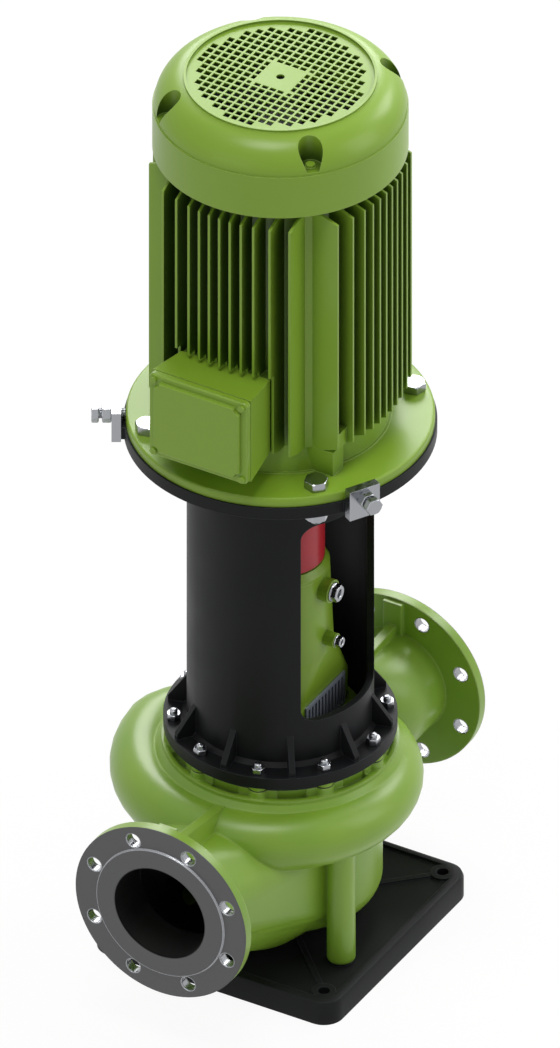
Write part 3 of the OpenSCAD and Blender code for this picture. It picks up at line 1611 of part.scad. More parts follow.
base_plate();
leg_screws();
volute_casing();
wear_ring();
casing_gasket();
casing_cover();
seal_seat();
bearing_bracket();
bracket_screws();
guards();
filler_plug();
level_plug();
pump_outer_rings();
bearing_cover();
lantern();
casing_studs();
casing_nuts();
drive_shield();
motor_frame();
stator_core();
stator_windings();
motor_outer_rings();
end_shield();
fan_cowl();
cowl_screws();
motor_bolts();
motor_washers();
motor_nuts();
terminal_box();
terminal_gasket();
terminal_lid();
lid_screws();
terminal_block();
entry_plugs();
jack_plates();
jack_nuts();
jack_screw_right();
jack_screw_left();
jack_screw_back();
pump_shaft();
impeller();
impeller_nut();
seal_head();
pump_inner_rings();
lower_hub();
spider();
motor_shaft();
rotor_core();
motor_inner_rings();
upper_hub();
fan();
pump_balls();
pump_cages();
motor_balls();
motor_cages();
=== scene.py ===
import json
import math

import bpy
import numpy as np
from mathutils import Matrix, Vector


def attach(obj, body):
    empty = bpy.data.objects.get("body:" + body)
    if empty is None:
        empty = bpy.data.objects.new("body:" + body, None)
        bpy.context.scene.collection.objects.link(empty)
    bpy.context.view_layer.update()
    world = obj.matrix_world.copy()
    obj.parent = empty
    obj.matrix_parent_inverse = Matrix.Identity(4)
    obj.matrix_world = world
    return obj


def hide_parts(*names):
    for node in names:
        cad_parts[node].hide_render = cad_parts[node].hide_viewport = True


# Camera first: looks down on the pump at the photograph's angle, with no perspective.
view = {"azimuth": 30.0, "elevation": 35.264, "height": 1.5193, "right": -0.0006, "up": 0.5731,
    "away": 5.0, "clip": 50}


def addCamera(v):
    a, e = math.radians(v["azimuth"]), math.radians(v["elevation"])
    right = Vector((math.cos(a), math.sin(a), 0))
    back = Vector((math.sin(a) * math.cos(e), -math.cos(a) * math.cos(e), math.sin(e)))
    up = back.cross(right)
    data = bpy.data.cameras.new("camera")
    data.type = "ORTHO"
    data.ortho_scale = v["height"]
    data.clip_end = v["clip"]
    cam = bpy.data.objects.new("camera", data)
    turn = Matrix((right, up, back)).transposed()
    place = right * v["right"] + up * v["up"] + back * v["away"]
    cam.matrix_world = Matrix.Translation(place) @ turn.to_4x4()
    bpy.context.scene.collection.objects.link(cam)
    bpy.context.scene.camera = cam


addCamera(view)
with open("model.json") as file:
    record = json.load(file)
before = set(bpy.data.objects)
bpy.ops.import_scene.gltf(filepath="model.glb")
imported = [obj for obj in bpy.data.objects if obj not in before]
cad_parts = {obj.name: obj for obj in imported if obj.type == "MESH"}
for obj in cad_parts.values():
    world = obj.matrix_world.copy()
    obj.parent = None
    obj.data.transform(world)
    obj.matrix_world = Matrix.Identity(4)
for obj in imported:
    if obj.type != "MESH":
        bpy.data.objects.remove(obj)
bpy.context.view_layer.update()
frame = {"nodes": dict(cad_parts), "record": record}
nodes = frame["nodes"]
print("frame loaded,", len(nodes), "nodes")


# Screen colour, 0 to 255, as a linear colour for a shader: the usual curve of screens, straight
# for the darkest values and a power of 2.4 above them.
def linear(r, g, b):
    def one(c):
        c = c / 255
        return c / 12.92 if c < 0.04045 else ((c + 0.055) / 1.055) ** 2.4
    return (one(r), one(g), one(b), 1.0)


tones = {
    "green": linear(127, 162, 44),
    "greenHighlight": linear(170, 198, 104),
    "black": linear(23, 24, 25),
    "blackHighlight": linear(56, 59, 63),
    "machined": linear(80, 80, 81),
    "steel": linear(158, 160, 164),
    "boreShade": linear(12, 12, 11),
    "red": linear(182, 34, 45),
    "guard": linear(136, 142, 154),
    "rubber": linear(26, 26, 27),
    "bronze": linear(168, 132, 72),
    "copper": linear(150, 84, 46),
    "sheet": linear(104, 106, 110),
    "cream": linear(214, 207, 188),
}


# Sets a socket: linked to a socket's value, or given a constant.
def put(tree, value, socket):
    if isinstance(value, bpy.types.NodeSocket):
        tree.links.new(value, socket)
    else:
        socket.default_value = value


# The next six helpers each add to a shader tree and return the output socket of what they add.
def mathNode(tree, operation, a, b=0.0):
    n = tree.nodes.new("ShaderNodeMath")
    n.operation = operation
    put(tree, a, n.inputs[0])
    put(tree, b, n.inputs[1])
    return n.outputs[0]


# Distance from (0, 0) to (x, y): the root of x squared plus y squared.
def distance(tree, x, y):
    return mathNode(tree, "SQRT", mathNode(tree, "ADD", mathNode(tree, "MULTIPLY", x, x),
        mathNode(tree, "MULTIPLY", y, y)))


# Smooth step from one value to another between two limits.
def ramp(tree, value, low, high, outLow=0.0, outHigh=1.0):
    n = tree.nodes.new("ShaderNodeMapRange")
    n.interpolation_type = "SMOOTHSTEP"
    for k, v in enumerate((value, low, high, outLow, outHigh)):
        put(tree, v, n.inputs[k])
    return n.outputs[0]


# The same in a straight line.
def straight(tree, value, low, high, outLow, outHigh):
    n = tree.nodes.new("ShaderNodeMapRange")
    for k, v in enumerate((value, low, high, outLow, outHigh)):
        put(tree, v, n.inputs[k])
    return n.outputs[0]


# In this node the colours to mix are inputs 6 and 7, and the mixed colour is output 2.
def mixColour(tree, amount, a, b):
    n = tree.nodes.new("ShaderNodeMix")
    n.data_type = "RGBA"
    put(tree, amount, n.inputs[0])
    put(tree, a, n.inputs[6])
    put(tree, b, n.inputs[7])
    return n.outputs[2]


def noise(tree, vector, scale, detail=2.0):
    n = tree.nodes.new("ShaderNodeTexNoise")
    put(tree, vector, n.inputs["Vector"])
    put(tree, scale, n.inputs["Scale"])
    n.inputs["Detail"].default_value = detail
    return n.outputs[0]


# Empty node group with its inputs and outputs, each a name and a kind.
def newGroup(name, inputs, outputs):
    g = bpy.data.node_groups.new(name, "ShaderNodeTree")
    for label, kind in inputs:
        g.interface.new_socket(name=label, in_out="INPUT", socket_type="NodeSocket" + kind)
    for label, kind in outputs:
        g.interface.new_socket(name=label, in_out="OUTPUT", socket_type="NodeSocket" + kind)
    return g, g.nodes.new("NodeGroupInput"), g.nodes.new("NodeGroupOutput")


skinLook = {"fineDetail": 3, "coarseScale": 38.0, "mottleScale": 7.0, "mottleFrom": 0.3, "mottleTo": 0.7}


# Cast or painted skin: a fine noise for the grain plus a coarse one for the unevenness.
def makeCastSkin(v):
    g, i, o = newGroup("castSkin", [("Vector", "Vector"), ("Grain", "Float"), ("Coarse share", "Float")],
        [("Height", "Float"), ("Mottle", "Float")])
    fine = noise(g, i.outputs["Vector"], i.outputs["Grain"], v["fineDetail"])
    coarse = noise(g, i.outputs["Vector"], v["coarseScale"])
    wide = noise(g, i.outputs["Vector"], v["mottleScale"])
    g.links.new(mathNode(g, "ADD", fine, mathNode(g, "MULTIPLY", coarse, i.outputs["Coarse share"])),
        o.inputs["Height"])
    g.links.new(ramp(g, wide, v["mottleFrom"], v["mottleTo"]), o.inputs["Mottle"])
    return g


edgeLook = {"samples": 6, "flatDot": 0.995, "edgeDot": 0.86}


# Edge finder: how far the rounded normal leans from the plain one, by their dot product, 0 on a
# flat and 1 on an edge.
def makeSoftEdge(v):
    g, i, o = newGroup("softEdge", [("Radius", "Float")], [("Normal", "Vector"), ("Edge", "Float")])
    bevel = g.nodes.new("ShaderNodeBevel")
    bevel.samples = v["samples"]
    g.links.new(i.outputs["Radius"], bevel.inputs["Radius"])
    geo = g.nodes.new("ShaderNodeNewGeometry")
    dot = g.nodes.new("ShaderNodeVectorMath")
    dot.operation = "DOT_PRODUCT"
    g.links.new(bevel.outputs[0], dot.inputs[0])
    g.links.new(geo.outputs["Normal"], dot.inputs[1])
    g.links.new(bevel.outputs[0], o.inputs["Normal"])
    g.links.new(ramp(g, dot.outputs["Value"], v["flatDot"], v["edgeDot"]), o.inputs["Edge"])
    return g


turnedLook = {"noiseScale": 300.0}


# Lathe marks: a wave of the distance from the turning axis, here along Y, with a little noise.
def makeTurned(v):
    g, i, o = newGroup("turnedMarks", [("Vector", "Vector"), ("Height of axis", "Float"), ("Pitch", "Float")],
        [("Height", "Float"), ("Radius", "Float")])
    s = g.nodes.new("ShaderNodeSeparateXYZ")
    g.links.new(i.outputs["Vector"], s.inputs[0])
    z = mathNode(g, "SUBTRACT", s.outputs["Z"], i.outputs["Height of axis"])
    r = distance(g, s.outputs["X"], z)
    turns = mathNode(g, "DIVIDE", r, i.outputs["Pitch"])
    wave = mathNode(g, "SINE", mathNode(g, "MULTIPLY", turns, 2 * math.pi))
    g.links.new(mathNode(g, "ADD", wave, noise(g, i.outputs["Vector"], v["noiseScale"])), o.inputs["Height"])
    g.links.new(r, o.inputs["Radius"])
    return g


castSkin, softEdge, turnedMarks = makeCastSkin(skinLook), makeSoftEdge(edgeLook), makeTurned(turnedLook)


# Adds a group and sets its inputs by name, with underscores for spaces.
def place(tree, group, **values):
    n = tree.nodes.new("ShaderNodeGroup")
    n.node_tree = group
    for name, value in values.items():
        put(tree, value, n.inputs[name.replace("_", " ")])
    return n


# New material with its shader tree, its main shader and the place of each point in its object.
def newMaterial(name):
    m = bpy.data.materials.new(name)
    m.use_nodes = True
    tree = m.node_tree
    bsdf = tree.nodes["Principled BSDF"]
    where = tree.nodes.new("ShaderNodeTexCoord").outputs["Object"]
    return m, tree, bsdf, where


# Relief of a height over a normal, as the main shader's normal.
def bump(tree, height, strength, distance, normal, bsdf):
    b = tree.nodes.new("ShaderNodeBump")
    b.inputs["Strength"].default_value = strength
    b.inputs["Distance"].default_value = distance
    put(tree, height, b.inputs["Height"])
    put(tree, normal, b.inputs["Normal"])
    tree.links.new(b.outputs[0], bsdf.inputs["Normal"])


gapLook = {"samples": 6, "openLight": 0.75, "closedLight": 0.25}


# How deep a point lies between its neighbours, from 0 in the open to 1 in a narrow gap: the mask for painted
# shade in gaps.
def hollow(tree, reach, v):
    n = tree.nodes.new("ShaderNodeAmbientOcclusion")
    n.samples = v["samples"]
    n.only_local = True
    n.inputs["Distance"].default_value = reach
    return ramp(tree, n.outputs["AO"], v["openLight"], v["closedLight"])


mottleRoughness = {"smoother": 0.03, "rougher": 0.05}


# Paint, plastic, rubber or metal from one table of values.
def finish(name, look):
    m, tree, bsdf, where = newMaterial(name)
    edge = place(tree, softEdge, Radius=look.get("edgeRadius", 0.0012))
    skin = place(tree, castSkin, Vector=where, Grain=look.get("grain", 700.0),
        Coarse_share=look.get("coarse", 0.4))
    tone = mixColour(tree, skin.outputs["Mottle"], look["colour"], look.get("second", look["colour"]))
    # Painted shade: the colour darkens towards the gap shade colour in gaps and crevices.
    if "hollow" in look:
        tone = mixColour(tree, hollow(tree, look["hollowReach"], gapLook), tone, look["hollow"])
    # Painted highlight: the colour lightens towards the highlight colour on edges.
    edgeHighlight = mathNode(tree, "MULTIPLY", edge.outputs["Edge"], look.get("highlightShare", 0.25))
    put(tree, mixColour(tree, edgeHighlight, tone, look.get("highlightColour", look["colour"])), bsdf.inputs["Base Color"])
    put(tree, ramp(tree, skin.outputs["Mottle"], 0, 1, look["roughness"] - mottleRoughness["smoother"],
        look["roughness"] + mottleRoughness["rougher"]), bsdf.inputs["Roughness"])
    bsdf.inputs["Metallic"].default_value = look.get("metallic", 0.0)
    bsdf.inputs["Coat Weight"].default_value = look.get("coat", 0.0)
    bsdf.inputs["Coat Roughness"].default_value = look.get("coatRoughness", 0.2)
    bsdf.inputs["Specular IOR Level"].default_value = look.get("specular", 0.5)
    bump(tree, skin.outputs["Height"], look.get("bump", 0.08), look.get("depth", 0.0004),
        edge.outputs["Normal"], bsdf)
    return m


looks = {
    "green_paint": {"colour": tones["green"], "highlightColour": tones["greenHighlight"], "highlightShare": 0.55,
        "roughness": 0.46, "specular": 0.22, "coat": 0.4, "coatRoughness": 0.28, "grain": 900.0,
        "bump": 0.05, "edgeRadius": 0.0014, "hollow": linear(52, 76, 16), "hollowReach": 0.05},
    "black_paint": {"colour": tones["black"], "highlightColour": tones["blackHighlight"], "highlightShare": 0.8,
        "roughness": 0.44, "specular": 0.13, "grain": 500.0, "bump": 0.1, "edgeRadius": 0.0016},
    "guard_paint": {"colour": tones["guard"], "highlightColour": tones["steel"], "highlightShare": 0.2,
        "roughness": 0.5, "edgeRadius": 0.0005},
    "zinc_steel": {"colour": tones["steel"], "highlightColour": linear(232, 233, 236), "highlightShare": 0.6,
        "roughness": 0.23, "metallic": 1.0, "grain": 1600.0, "bump": 0.03, "edgeRadius": 0.0006},
    "bearing_steel": {"colour": tones["steel"], "roughness": 0.14, "metallic": 1.0, "edgeRadius": 0.0004},
    "shaft_steel": {"colour": linear(176, 178, 182), "roughness": 0.26, "metallic": 1.0,
        "edgeRadius": 0.0006},
    "red_hub": {"colour": tones["red"], "second": linear(160, 46, 55), "highlightColour": linear(205, 110, 112),
        "highlightShare": 0.4, "roughness": 0.4, "specular": 0.24, "coat": 0.2},
    "rubber_black": {"colour": tones["rubber"], "roughness": 0.7, "grain": 300.0},
    "seal_carbon": {"colour": linear(46, 47, 50), "roughness": 0.3},
    "bronze": {"colour": tones["bronze"], "roughness": 0.34, "metallic": 1.0, "grain": 400.0, "bump": 0.15},
    "lamination": {"colour": tones["sheet"], "roughness": 0.5, "metallic": 0.8, "grain": 1200.0},
    "winding": {"colour": tones["copper"], "roughness": 0.42, "metallic": 0.7, "grain": 260.0, "bump": 0.5},
    "fan_plastic": {"colour": linear(34, 35, 37), "roughness": 0.5},
    "terminal_plastic": {"colour": tones["cream"], "roughness": 0.5},
    "plug_plastic": {"colour": linear(32, 33, 35), "roughness": 0.45, "edgeRadius": 0.0008},
}
finishes = {name: finish(name, look) for name, look in looks.items()}

casingLook = {
    "faceFrom": 0.3462, "faceFade": 0.0004, "flangeFrom": 0.3300, "flangeFade": 0.0006, "axisHeight": 0.225,
    "pitch": 0.0016, "raisedRadius": 0.106, "ringHalf": 0.0013, "ringCore": 0.0007,
    "boltCircle": 0.120, "holeRadius": 0.0128, "holeFade": 0.0003, "holes": 8,
    "boreRadius": 0.0762, "boreFade": 0.0004, "boreFrom": 0.255, "boreFull": 0.262,
    "second": linear(118, 156, 44), "edgeRadius": 0.005, "highlightShare": 0.35, "grain": 420.0, "coarse": 0.8,
    "roughness": 0.46, "specular": 0.3, "coat": 0.5, "coatRoughness": 0.3,
    "bareMetal": 0.5, "brightMetal": 0.9, "brightRoughness": -0.2, "boreRoughness": 0.25,
    "marks": 0.6, "bump": 0.1, "depth": 0.0005,
    "bowlRadius": 0.1425, "bowlFloor": 0.0655,
    "duct": [{"at": 0.092, "middle": 0.142, "halfX": 0.0925, "halfZ": 0.060, "power": 4.0},
        {"at": 0.219, "middle": 0.152, "halfX": 0.0785, "halfZ": 0.0525, "power": 2.4},
        {"at": 0.280, "middle": 0.225, "halfX": 0.0775, "halfZ": 0.0775}],
    "run": {"startX": -0.2093, "startZ": 0.2695, "startRadius": 0.041, "endRadius": 0.079, "end": 0.268},
}


# Green cast paint, with bare machined flange faces, bright drilled holes and painted edge highlights,
# and painted shade over the bore and the insides of the suction duct, discharge run and bowl.
def makeCasingPaint(v):
    m, tree, bsdf, where = newMaterial("casing_paint")

    def do(operation, a, b=0.0):
        return mathNode(tree, operation, a, b)

    s = tree.nodes.new("ShaderNodeSeparateXYZ")
    tree.links.new(where, s.inputs[0])
    x, y, z = s.outputs["X"], s.outputs["Y"], s.outputs["Z"]
    turned = place(tree, turnedMarks, Vector=where, Height_of_axis=v["axisHeight"], Pitch=v["pitch"])
    r = turned.outputs["Radius"]
    fromMiddle = do("ABSOLUTE", y)
    onFace = ramp(tree, fromMiddle, v["faceFrom"], v["faceFrom"] + v["faceFade"])
    inFlange = ramp(tree, fromMiddle, v["flangeFrom"], v["flangeFrom"] + v["flangeFade"])
    # Distance from the nearest bolt hole's axis, with the angle folded into one hole's share.
    angle = do("ARCTAN2", do("SUBTRACT", z, v["axisHeight"]), x)
    share = 2 * math.pi / v["holes"]
    folded = do("SUBTRACT", do("FLOORED_MODULO", angle, share), share / 2)
    px = do("SUBTRACT", do("MULTIPLY", r, do("COSINE", folded)), v["boltCircle"])
    py = do("MULTIPLY", r, do("SINE", folded))
    inHole = ramp(tree, distance(tree, px, py), v["holeRadius"], v["holeRadius"] - v["holeFade"])
    hole = do("MULTIPLY", inHole, inFlange)
    fromRing = do("ABSOLUTE", do("SUBTRACT", r, v["raisedRadius"]))
    ringEdge = do("MULTIPLY", onFace, ramp(tree, fromRing, v["ringHalf"], v["ringCore"]))
    bright = do("MAXIMUM", hole, ringEdge)
    bare = do("MAXIMUM", onFace, hole)
    farOut = ramp(tree, fromMiddle, v["boreFrom"], v["boreFull"])
    bore = do("MULTIPLY", ramp(tree, r, v["boreRadius"], v["boreRadius"] - v["boreFade"]), farOut)
    # Painted shade: the suction duct, the discharge run and the bowl join the bore mask, which turns them
    # dark.
    # The suction duct's inside: an oval, (x / half width)^k + (z / half height)^k below 1, whose
    # middle and half sizes change from station to station. It is squarer, with a larger k, further in.
    # Back is the distance from the shaft's axis towards the suction flange, which lies at -Y.
    back = do("MULTIPLY", y, -1.0)
    for near, far in zip(v["duct"], v["duct"][1:]):
        middle, halfX, halfZ = (straight(tree, back, near["at"], far["at"], near[k], far[k])
            for k in ("middle", "halfX", "halfZ"))
        up = do("DIVIDE", do("SUBTRACT", z, middle), halfZ)
        across = do("DIVIDE", x, halfX)
        oval = do("ADD", do("POWER", do("ABSOLUTE", up), near["power"]),
            do("POWER", do("ABSOLUTE", across), near["power"]))
        inside = do("LESS_THAN", oval, 1.0)
        between = do("MULTIPLY", do("GREATER_THAN", back, near["at"]), do("LESS_THAN", back, far["at"]))
        bore = do("MAXIMUM", bore, do("MULTIPLY", inside, between))
    # The discharge run's inside: a round tube whose middle moves over to the back bore along a
    # smooth step.
    run = v["run"]
    dx = do("SUBTRACT", x, ramp(tree, y, 0.0, run["end"], run["startX"], 0.0))
    dz = do("SUBTRACT", z, ramp(tree, y, 0.0, run["end"], run["startZ"], v["axisHeight"]))
    runRadius = ramp(tree, y, 0.0, run["end"], run["startRadius"], run["endRadius"])
    inRun = do("LESS_THAN", distance(tree, dx, dz), runRadius)
    onRun = do("MULTIPLY", do("GREATER_THAN", y, 0.0), do("LESS_THAN", y, run["end"]))
    bore = do("MAXIMUM", bore, do("MULTIPLY", inRun, onRun))
    # The suction bowl's inside: round the shaft's axis, above the bowl's floor.
    inBowl = do("LESS_THAN", distance(tree, x, y), v["bowlRadius"])
    bore = do("MAXIMUM", bore, do("MULTIPLY", inBowl, do("GREATER_THAN", z, v["bowlFloor"])))
    edge = place(tree, softEdge, Radius=v["edgeRadius"])
    skin = place(tree, castSkin, Vector=where, Grain=v["grain"], Coarse_share=v["coarse"])
    green = mixColour(tree, skin.outputs["Mottle"], tones["green"], v["second"])
    # Painted highlight: the green lightens on edges.
    green = mixColour(tree, do("MULTIPLY", edge.outputs["Edge"], v["highlightShare"]), green, tones["greenHighlight"])
    metal = mixColour(tree, bright, tones["machined"], tones["steel"])
    # Painted shade: where the bore mask is on, the colour is the dark bore shade.
    colour = mixColour(tree, bore, mixColour(tree, bare, green, metal), tones["boreShade"])
    put(tree, colour, bsdf.inputs["Base Color"])
    put(tree, do("MULTIPLY", bare, ramp(tree, bright, 0, 1, v["bareMetal"], v["brightMetal"])),
        bsdf.inputs["Metallic"])
    rough = do("ADD", v["roughness"], do("MULTIPLY", bright, v["brightRoughness"]))
    put(tree, do("ADD", rough, do("MULTIPLY", bore, v["boreRoughness"])), bsdf.inputs["Roughness"])
    bsdf.inputs["Specular IOR Level"].default_value = v["specular"]
    bsdf.inputs["Coat Weight"].default_value = v["coat"]
    bsdf.inputs["Coat Roughness"].default_value = v["coatRoughness"]
    marks = do("MULTIPLY", turned.outputs["Height"], do("MULTIPLY", onFace, v["marks"]))
    height = do("ADD", marks, skin.outputs["Height"])
    bump(tree, height, v["bump"], v["depth"], edge.outputs["Normal"], bsdf)
    return m


finishes["casing_paint"] = makeCasingPaint(casingLook)
print("finishes made:", len(finishes))

shading = {"sharpFrom": 28, "mergeWithin": 0.00001}


# Smooth shading, but sharp at edges where faces meet at more than the limit in degrees.
def makeSmoothing(limit):
    g = bpy.data.node_groups.new("smoothBelowAngle", "GeometryNodeTree")
    g.interface.new_socket(name="Geometry", in_out="INPUT", socket_type="NodeSocketGeometry")
    g.interface.new_socket(name="Geometry", in_out="OUTPUT", socket_type="NodeSocketGeometry")
    i, o = g.nodes.new("NodeGroupInput"), g.nodes.new("NodeGroupOutput")
    faces = g.nodes.new("GeometryNodeSetShadeSmooth")
    edges = g.nodes.new("GeometryNodeSetShadeSmooth")
    edges.domain = "EDGE"
    angle = g.nodes.new("GeometryNodeInputMeshEdgeAngle")
    over = g.nodes.new("FunctionNodeCompare")
    over.operation = "GREATER_THAN"
    g.links.new(angle.outputs["Unsigned Angle"], over.inputs["A"])
    over.inputs["B"].default_value = math.radians(limit)
    g.links.new(i.outputs[0], faces.inputs["Geometry"])
    g.links.new(faces.outputs[0], edges.inputs["Geometry"])
    g.links.new(over.outputs[0], edges.inputs["Selection"])
    edges.inputs["Shade Smooth"].default_value = False
    g.links.new(edges.outputs[0], o.inputs[0])
    return g


smoothing = makeSmoothing(shading["sharpFrom"])


# Merges doubled points, and shades what is left smooth below the limit.
def shadeSmooth(obj):
    obj.modifiers.new("merge", "WELD").merge_threshold = shading["mergeWithin"]
    obj.modifiers.new("smooth", "NODES").node_group = smoothing


# Every node of the frame keeps its mesh and takes the finish of its slot, and the casing its own paint.
slotOf = {p["node"]: p["material_slot"] for p in frame["record"]["subparts"]}
for name, obj in nodes.items():
    look = finishes["casing_paint" if name == "volute_casing" else slotOf[name]]
    obj.data.materials.clear()
    obj.data.materials.append(look)
    shadeSmooth(obj)
print("nodes dressed")


# Surfaces are grids of points over two parameters, with rows first. Here are the quads between
# neighbouring rows and columns; a closed grid joins its last column to its first.
def gridFaces(rows, columns, start, closed):
    r = np.arange(rows - 1)[:, None]
    c = np.arange(columns if closed else columns - 1)[None, :]
    n = (c + 1) % columns
    quads = np.stack([r * columns + c, r * columns + n, (r + 1) * columns + n, (r + 1) * columns + c], -1)
    return quads.reshape(-1, 4) + start


# Object with a smooth mesh in a slot's finish.
def meshObject(name, points, faces, slot):
    mesh = bpy.data.meshes.new(name)
    mesh.from_pydata(np.concatenate(points).tolist(), [], np.concatenate(faces).tolist())
    mesh.update()
    mesh.polygons.foreach_set("use_smooth", np.ones(len(mesh.polygons), bool))
    mesh.materials.append(finishes[slot])
    obj = bpy.data.objects.new(name, mesh)
    bpy.context.scene.collection.objects.link(obj)
    shadeSmooth(obj)
    return obj


# One object from several closed grids of points, each (rows, columns, 3).
def buildPiece(name, grids, body, slot, replaced):
    points, faces, start = [], [], 0
    for g in grids:
        rows, columns = g.shape[:2]
        points.append(g.reshape(-1, 3))
        faces.append(gridFaces(rows, columns, start, True))
        start += rows * columns
    obj = meshObject(name, points, faces, slot)
    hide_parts(*replaced)
    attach(obj, body)


# Profile of (radius, height) pairs carried round the Z axis: x = r cos a, y = r sin a, z = h.
def turnedForm(profile, columns):
    p = np.array(profile, float)
    a = np.arange(columns) * 2 * np.pi / columns
    r, h = p[:, :1], p[:, 1:]
    return np.stack([r * np.cos(a), r * np.sin(a), h + 0 * a], -1)


# Hexagon cut by cones: the radius is the lesser of the hexagon's, half the flats over the
# cosine of the angle from the nearest flat, and the profile's own radius at that height.
def hexForm(flats, profile, columns=72):
    p = np.array(profile, float)
    a = np.arange(columns) * 2 * np.pi / columns
    toFlat = (a + np.pi / 6) % (np.pi / 3) - np.pi / 6
    hexagon = flats / 2 / np.cos(toFlat)
    r = np.minimum(hexagon[None, :], p[:, :1])
    return np.stack([r * np.cos(a), r * np.sin(a), p[:, 1:] + 0 * a], -1)


# Screw thread: the radius falls from the crest by a rounded wave of (height / pitch - angle / full
# turn), and both ends taper to a chamfer as long as the tip.
def threadForm(radius, pitch, depth, start, end, columns=28, perTurn=8, tip=0.0015, roundness=0.8):
    rows = int((end - start) / pitch * perTurn) + 2
    h = np.linspace(start, end, rows)[:, None]
    a = (np.arange(columns) * 2 * np.pi / columns)[None, :]
    phase = h / pitch - a / (2 * np.pi)
    wave = 0.5 + 0.5 * np.cos(2 * np.pi * phase)
    r = radius - depth * (1 - wave ** roundness)
    r = np.minimum(r, radius - depth + 0 * a + np.minimum(h - start, end - h) / tip * depth)
    body = np.stack([r * np.cos(a), r * np.sin(a), h + 0 * a], -1)
    low, high = body[:1] * [0, 0, 1], body[-1:] * [0, 0, 1]
    return np.concatenate([low, body, high], 0)


# Turns a form built along Z so that it points along a direction from an origin.
def along(grid, origin, direction):
    turn = Vector((0, 0, 1)).rotation_difference(Vector(direction).normalized()).to_matrix()
    return grid @ np.array(turn).T + np.array(origin, float)


# Turns a form about the Z axis.
def around(grid, angle):
    c, s = math.cos(math.radians(angle)), math.sin(math.radians(angle))
    return grid @ np.array([[c, -s, 0], [s, c, 0], [0, 0, 1]]).T


# A hexagon's corner lies at 0.577 of its flats from the middle, and profiles reach a little past
# it. The cuts are shares of the chamfer.
pastCorner = 0.62
hexCuts = {"flatInset": 0.0002, "out": 0.9, "first": 0.5, "last": 1.2}


# Profile of a nut or head: in from the middle, out to the cut corners and back.
def chamferedHex(flats, low, high, inner, chamfer):
    corner = flats * pastCorner
    touch = flats / 2 - hexCuts["flatInset"]
    side = touch + chamfer * hexCuts["out"]
    first, last = chamfer * hexCuts["first"], chamfer * hexCuts["last"]
    return [(inner, low), (touch, low), (side, low + first), (corner, low + last),
        (corner, high - last), (side, high - first), (touch, high), (inner, high)]


# Nut, whose last row of points goes back to the first, so that its bore is open and has a wall.
def nutForm(flats, low, high, bore, chamfer):
    nut = hexForm(flats, chamferedHex(flats, low, high, bore, chamfer))
    return np.concatenate([nut, nut[:1]], 0)


coverNutLook = {"count": 10, "circle": 0.1555, "seat": 0.369, "flats": 0.019, "height": 0.010,
    "chamfer": 0.0016, "studRadius": 0.006, "studTop": 0.386, "studLow": 0.322, "inStud": 0.0001,
    "dome": 0.0028, "domeFrom": 0.15, "domeRows": 6, "columns": 28}


# Ten hexagon nuts with their studs, whose ends are rounded.
def addCoverNuts(v):
    nutGrids, studGrids = [], []
    nut = nutForm(v["flats"], v["seat"], v["seat"] + v["height"], v["studRadius"] - v["inStud"], v["chamfer"])
    r, domeLow = v["studRadius"], v["studTop"] - v["dome"]
    # The end is a quarter oval: radius r cos t, height from its foot by the dome's height times sin t.
    end = [(r * math.cos(t), domeLow + v["dome"] * math.sin(t))
        for t in np.linspace(v["domeFrom"], math.pi / 2, v["domeRows"])]
    shank = [(0, v["studLow"]), (r, v["studLow"]), (r, v["seat"]), (r, domeLow)]
    stud = turnedForm(shank + end, v["columns"])
    shift = np.array([v["circle"], 0, 0])
    for k in range(v["count"]):
        angle = k * 360 / v["count"]
        nutGrids.append(around(nut + shift, angle))
        studGrids.append(around(stud + shift, angle))
    buildPiece("cover_nuts", nutGrids, "stand", "zinc_steel", ["casing_nuts"])
    buildPiece("cover_studs", studGrids, "stand", "zinc_steel", ["casing_studs"])


addCoverNuts(coverNutLook)

motorBoltLook = {"circle": 0.200, "angles": (45, 135, 225, 315), "flats": 0.032, "seat": 0.905,
    "headHeight": 0.014, "chamfer": 0.0022, "radius": 0.010, "shank": 0.040, "intoHead": 0.001,
    "columns": 32, "low": 0.844, "pitch": 0.0025, "threadDepth": 0.0013, "threadTop": 0.038,
    "threadInset": 0.00005, "nutLow": 0.851, "nutHigh": 0.867, "inBolt": 0.0001}


# Four hexagon bolts through both flanges, and their nuts below.
def addMotorBolts(v):
    r, seat = v["radius"], v["seat"]
    head = hexForm(v["flats"], chamferedHex(v["flats"], seat, seat + v["headHeight"], 0.0, v["chamfer"]))
    low, high = seat - v["shank"], seat + v["intoHead"]
    shank = turnedForm([(0, low), (r, low), (r, high), (0, high)], v["columns"])
    thread = threadForm(r - v["threadInset"], v["pitch"], v["threadDepth"], v["low"], seat - v["threadTop"])
    nut = nutForm(v["flats"], v["nutLow"], v["nutHigh"], r - v["inBolt"], v["chamfer"])
    shift = np.array([v["circle"], 0, 0])
    bolts, nuts = [], []
    for angle in v["angles"]:
        bolts += [around(g + shift, angle) for g in (head, shank, thread)]
        nuts.append(around(nut + shift, angle))
    buildPiece("motor_bolts_detailed", bolts, "stand", "zinc_steel", ["motor_bolts"])
    buildPiece("motor_nuts_detailed", nuts, "stand", "zinc_steel", ["motor_nuts"])


addMotorBolts(motorBoltLook)

jackLook = {"height": 0.8985, "inner": 0.2248, "head": 0.2633, "headEnd": 0.2743, "intoHead": 0.0002,
    "radius": 0.00795, "pitch": 0.002, "threadDepth": 0.0011, "flats": 0.024, "chamfer": 0.0018,
    "nutFrom": 0.245, "nutTo": 0.2588, "roundScrew": 0.0001,
    "places": {"right": -30, "left": -150, "back": 90}}


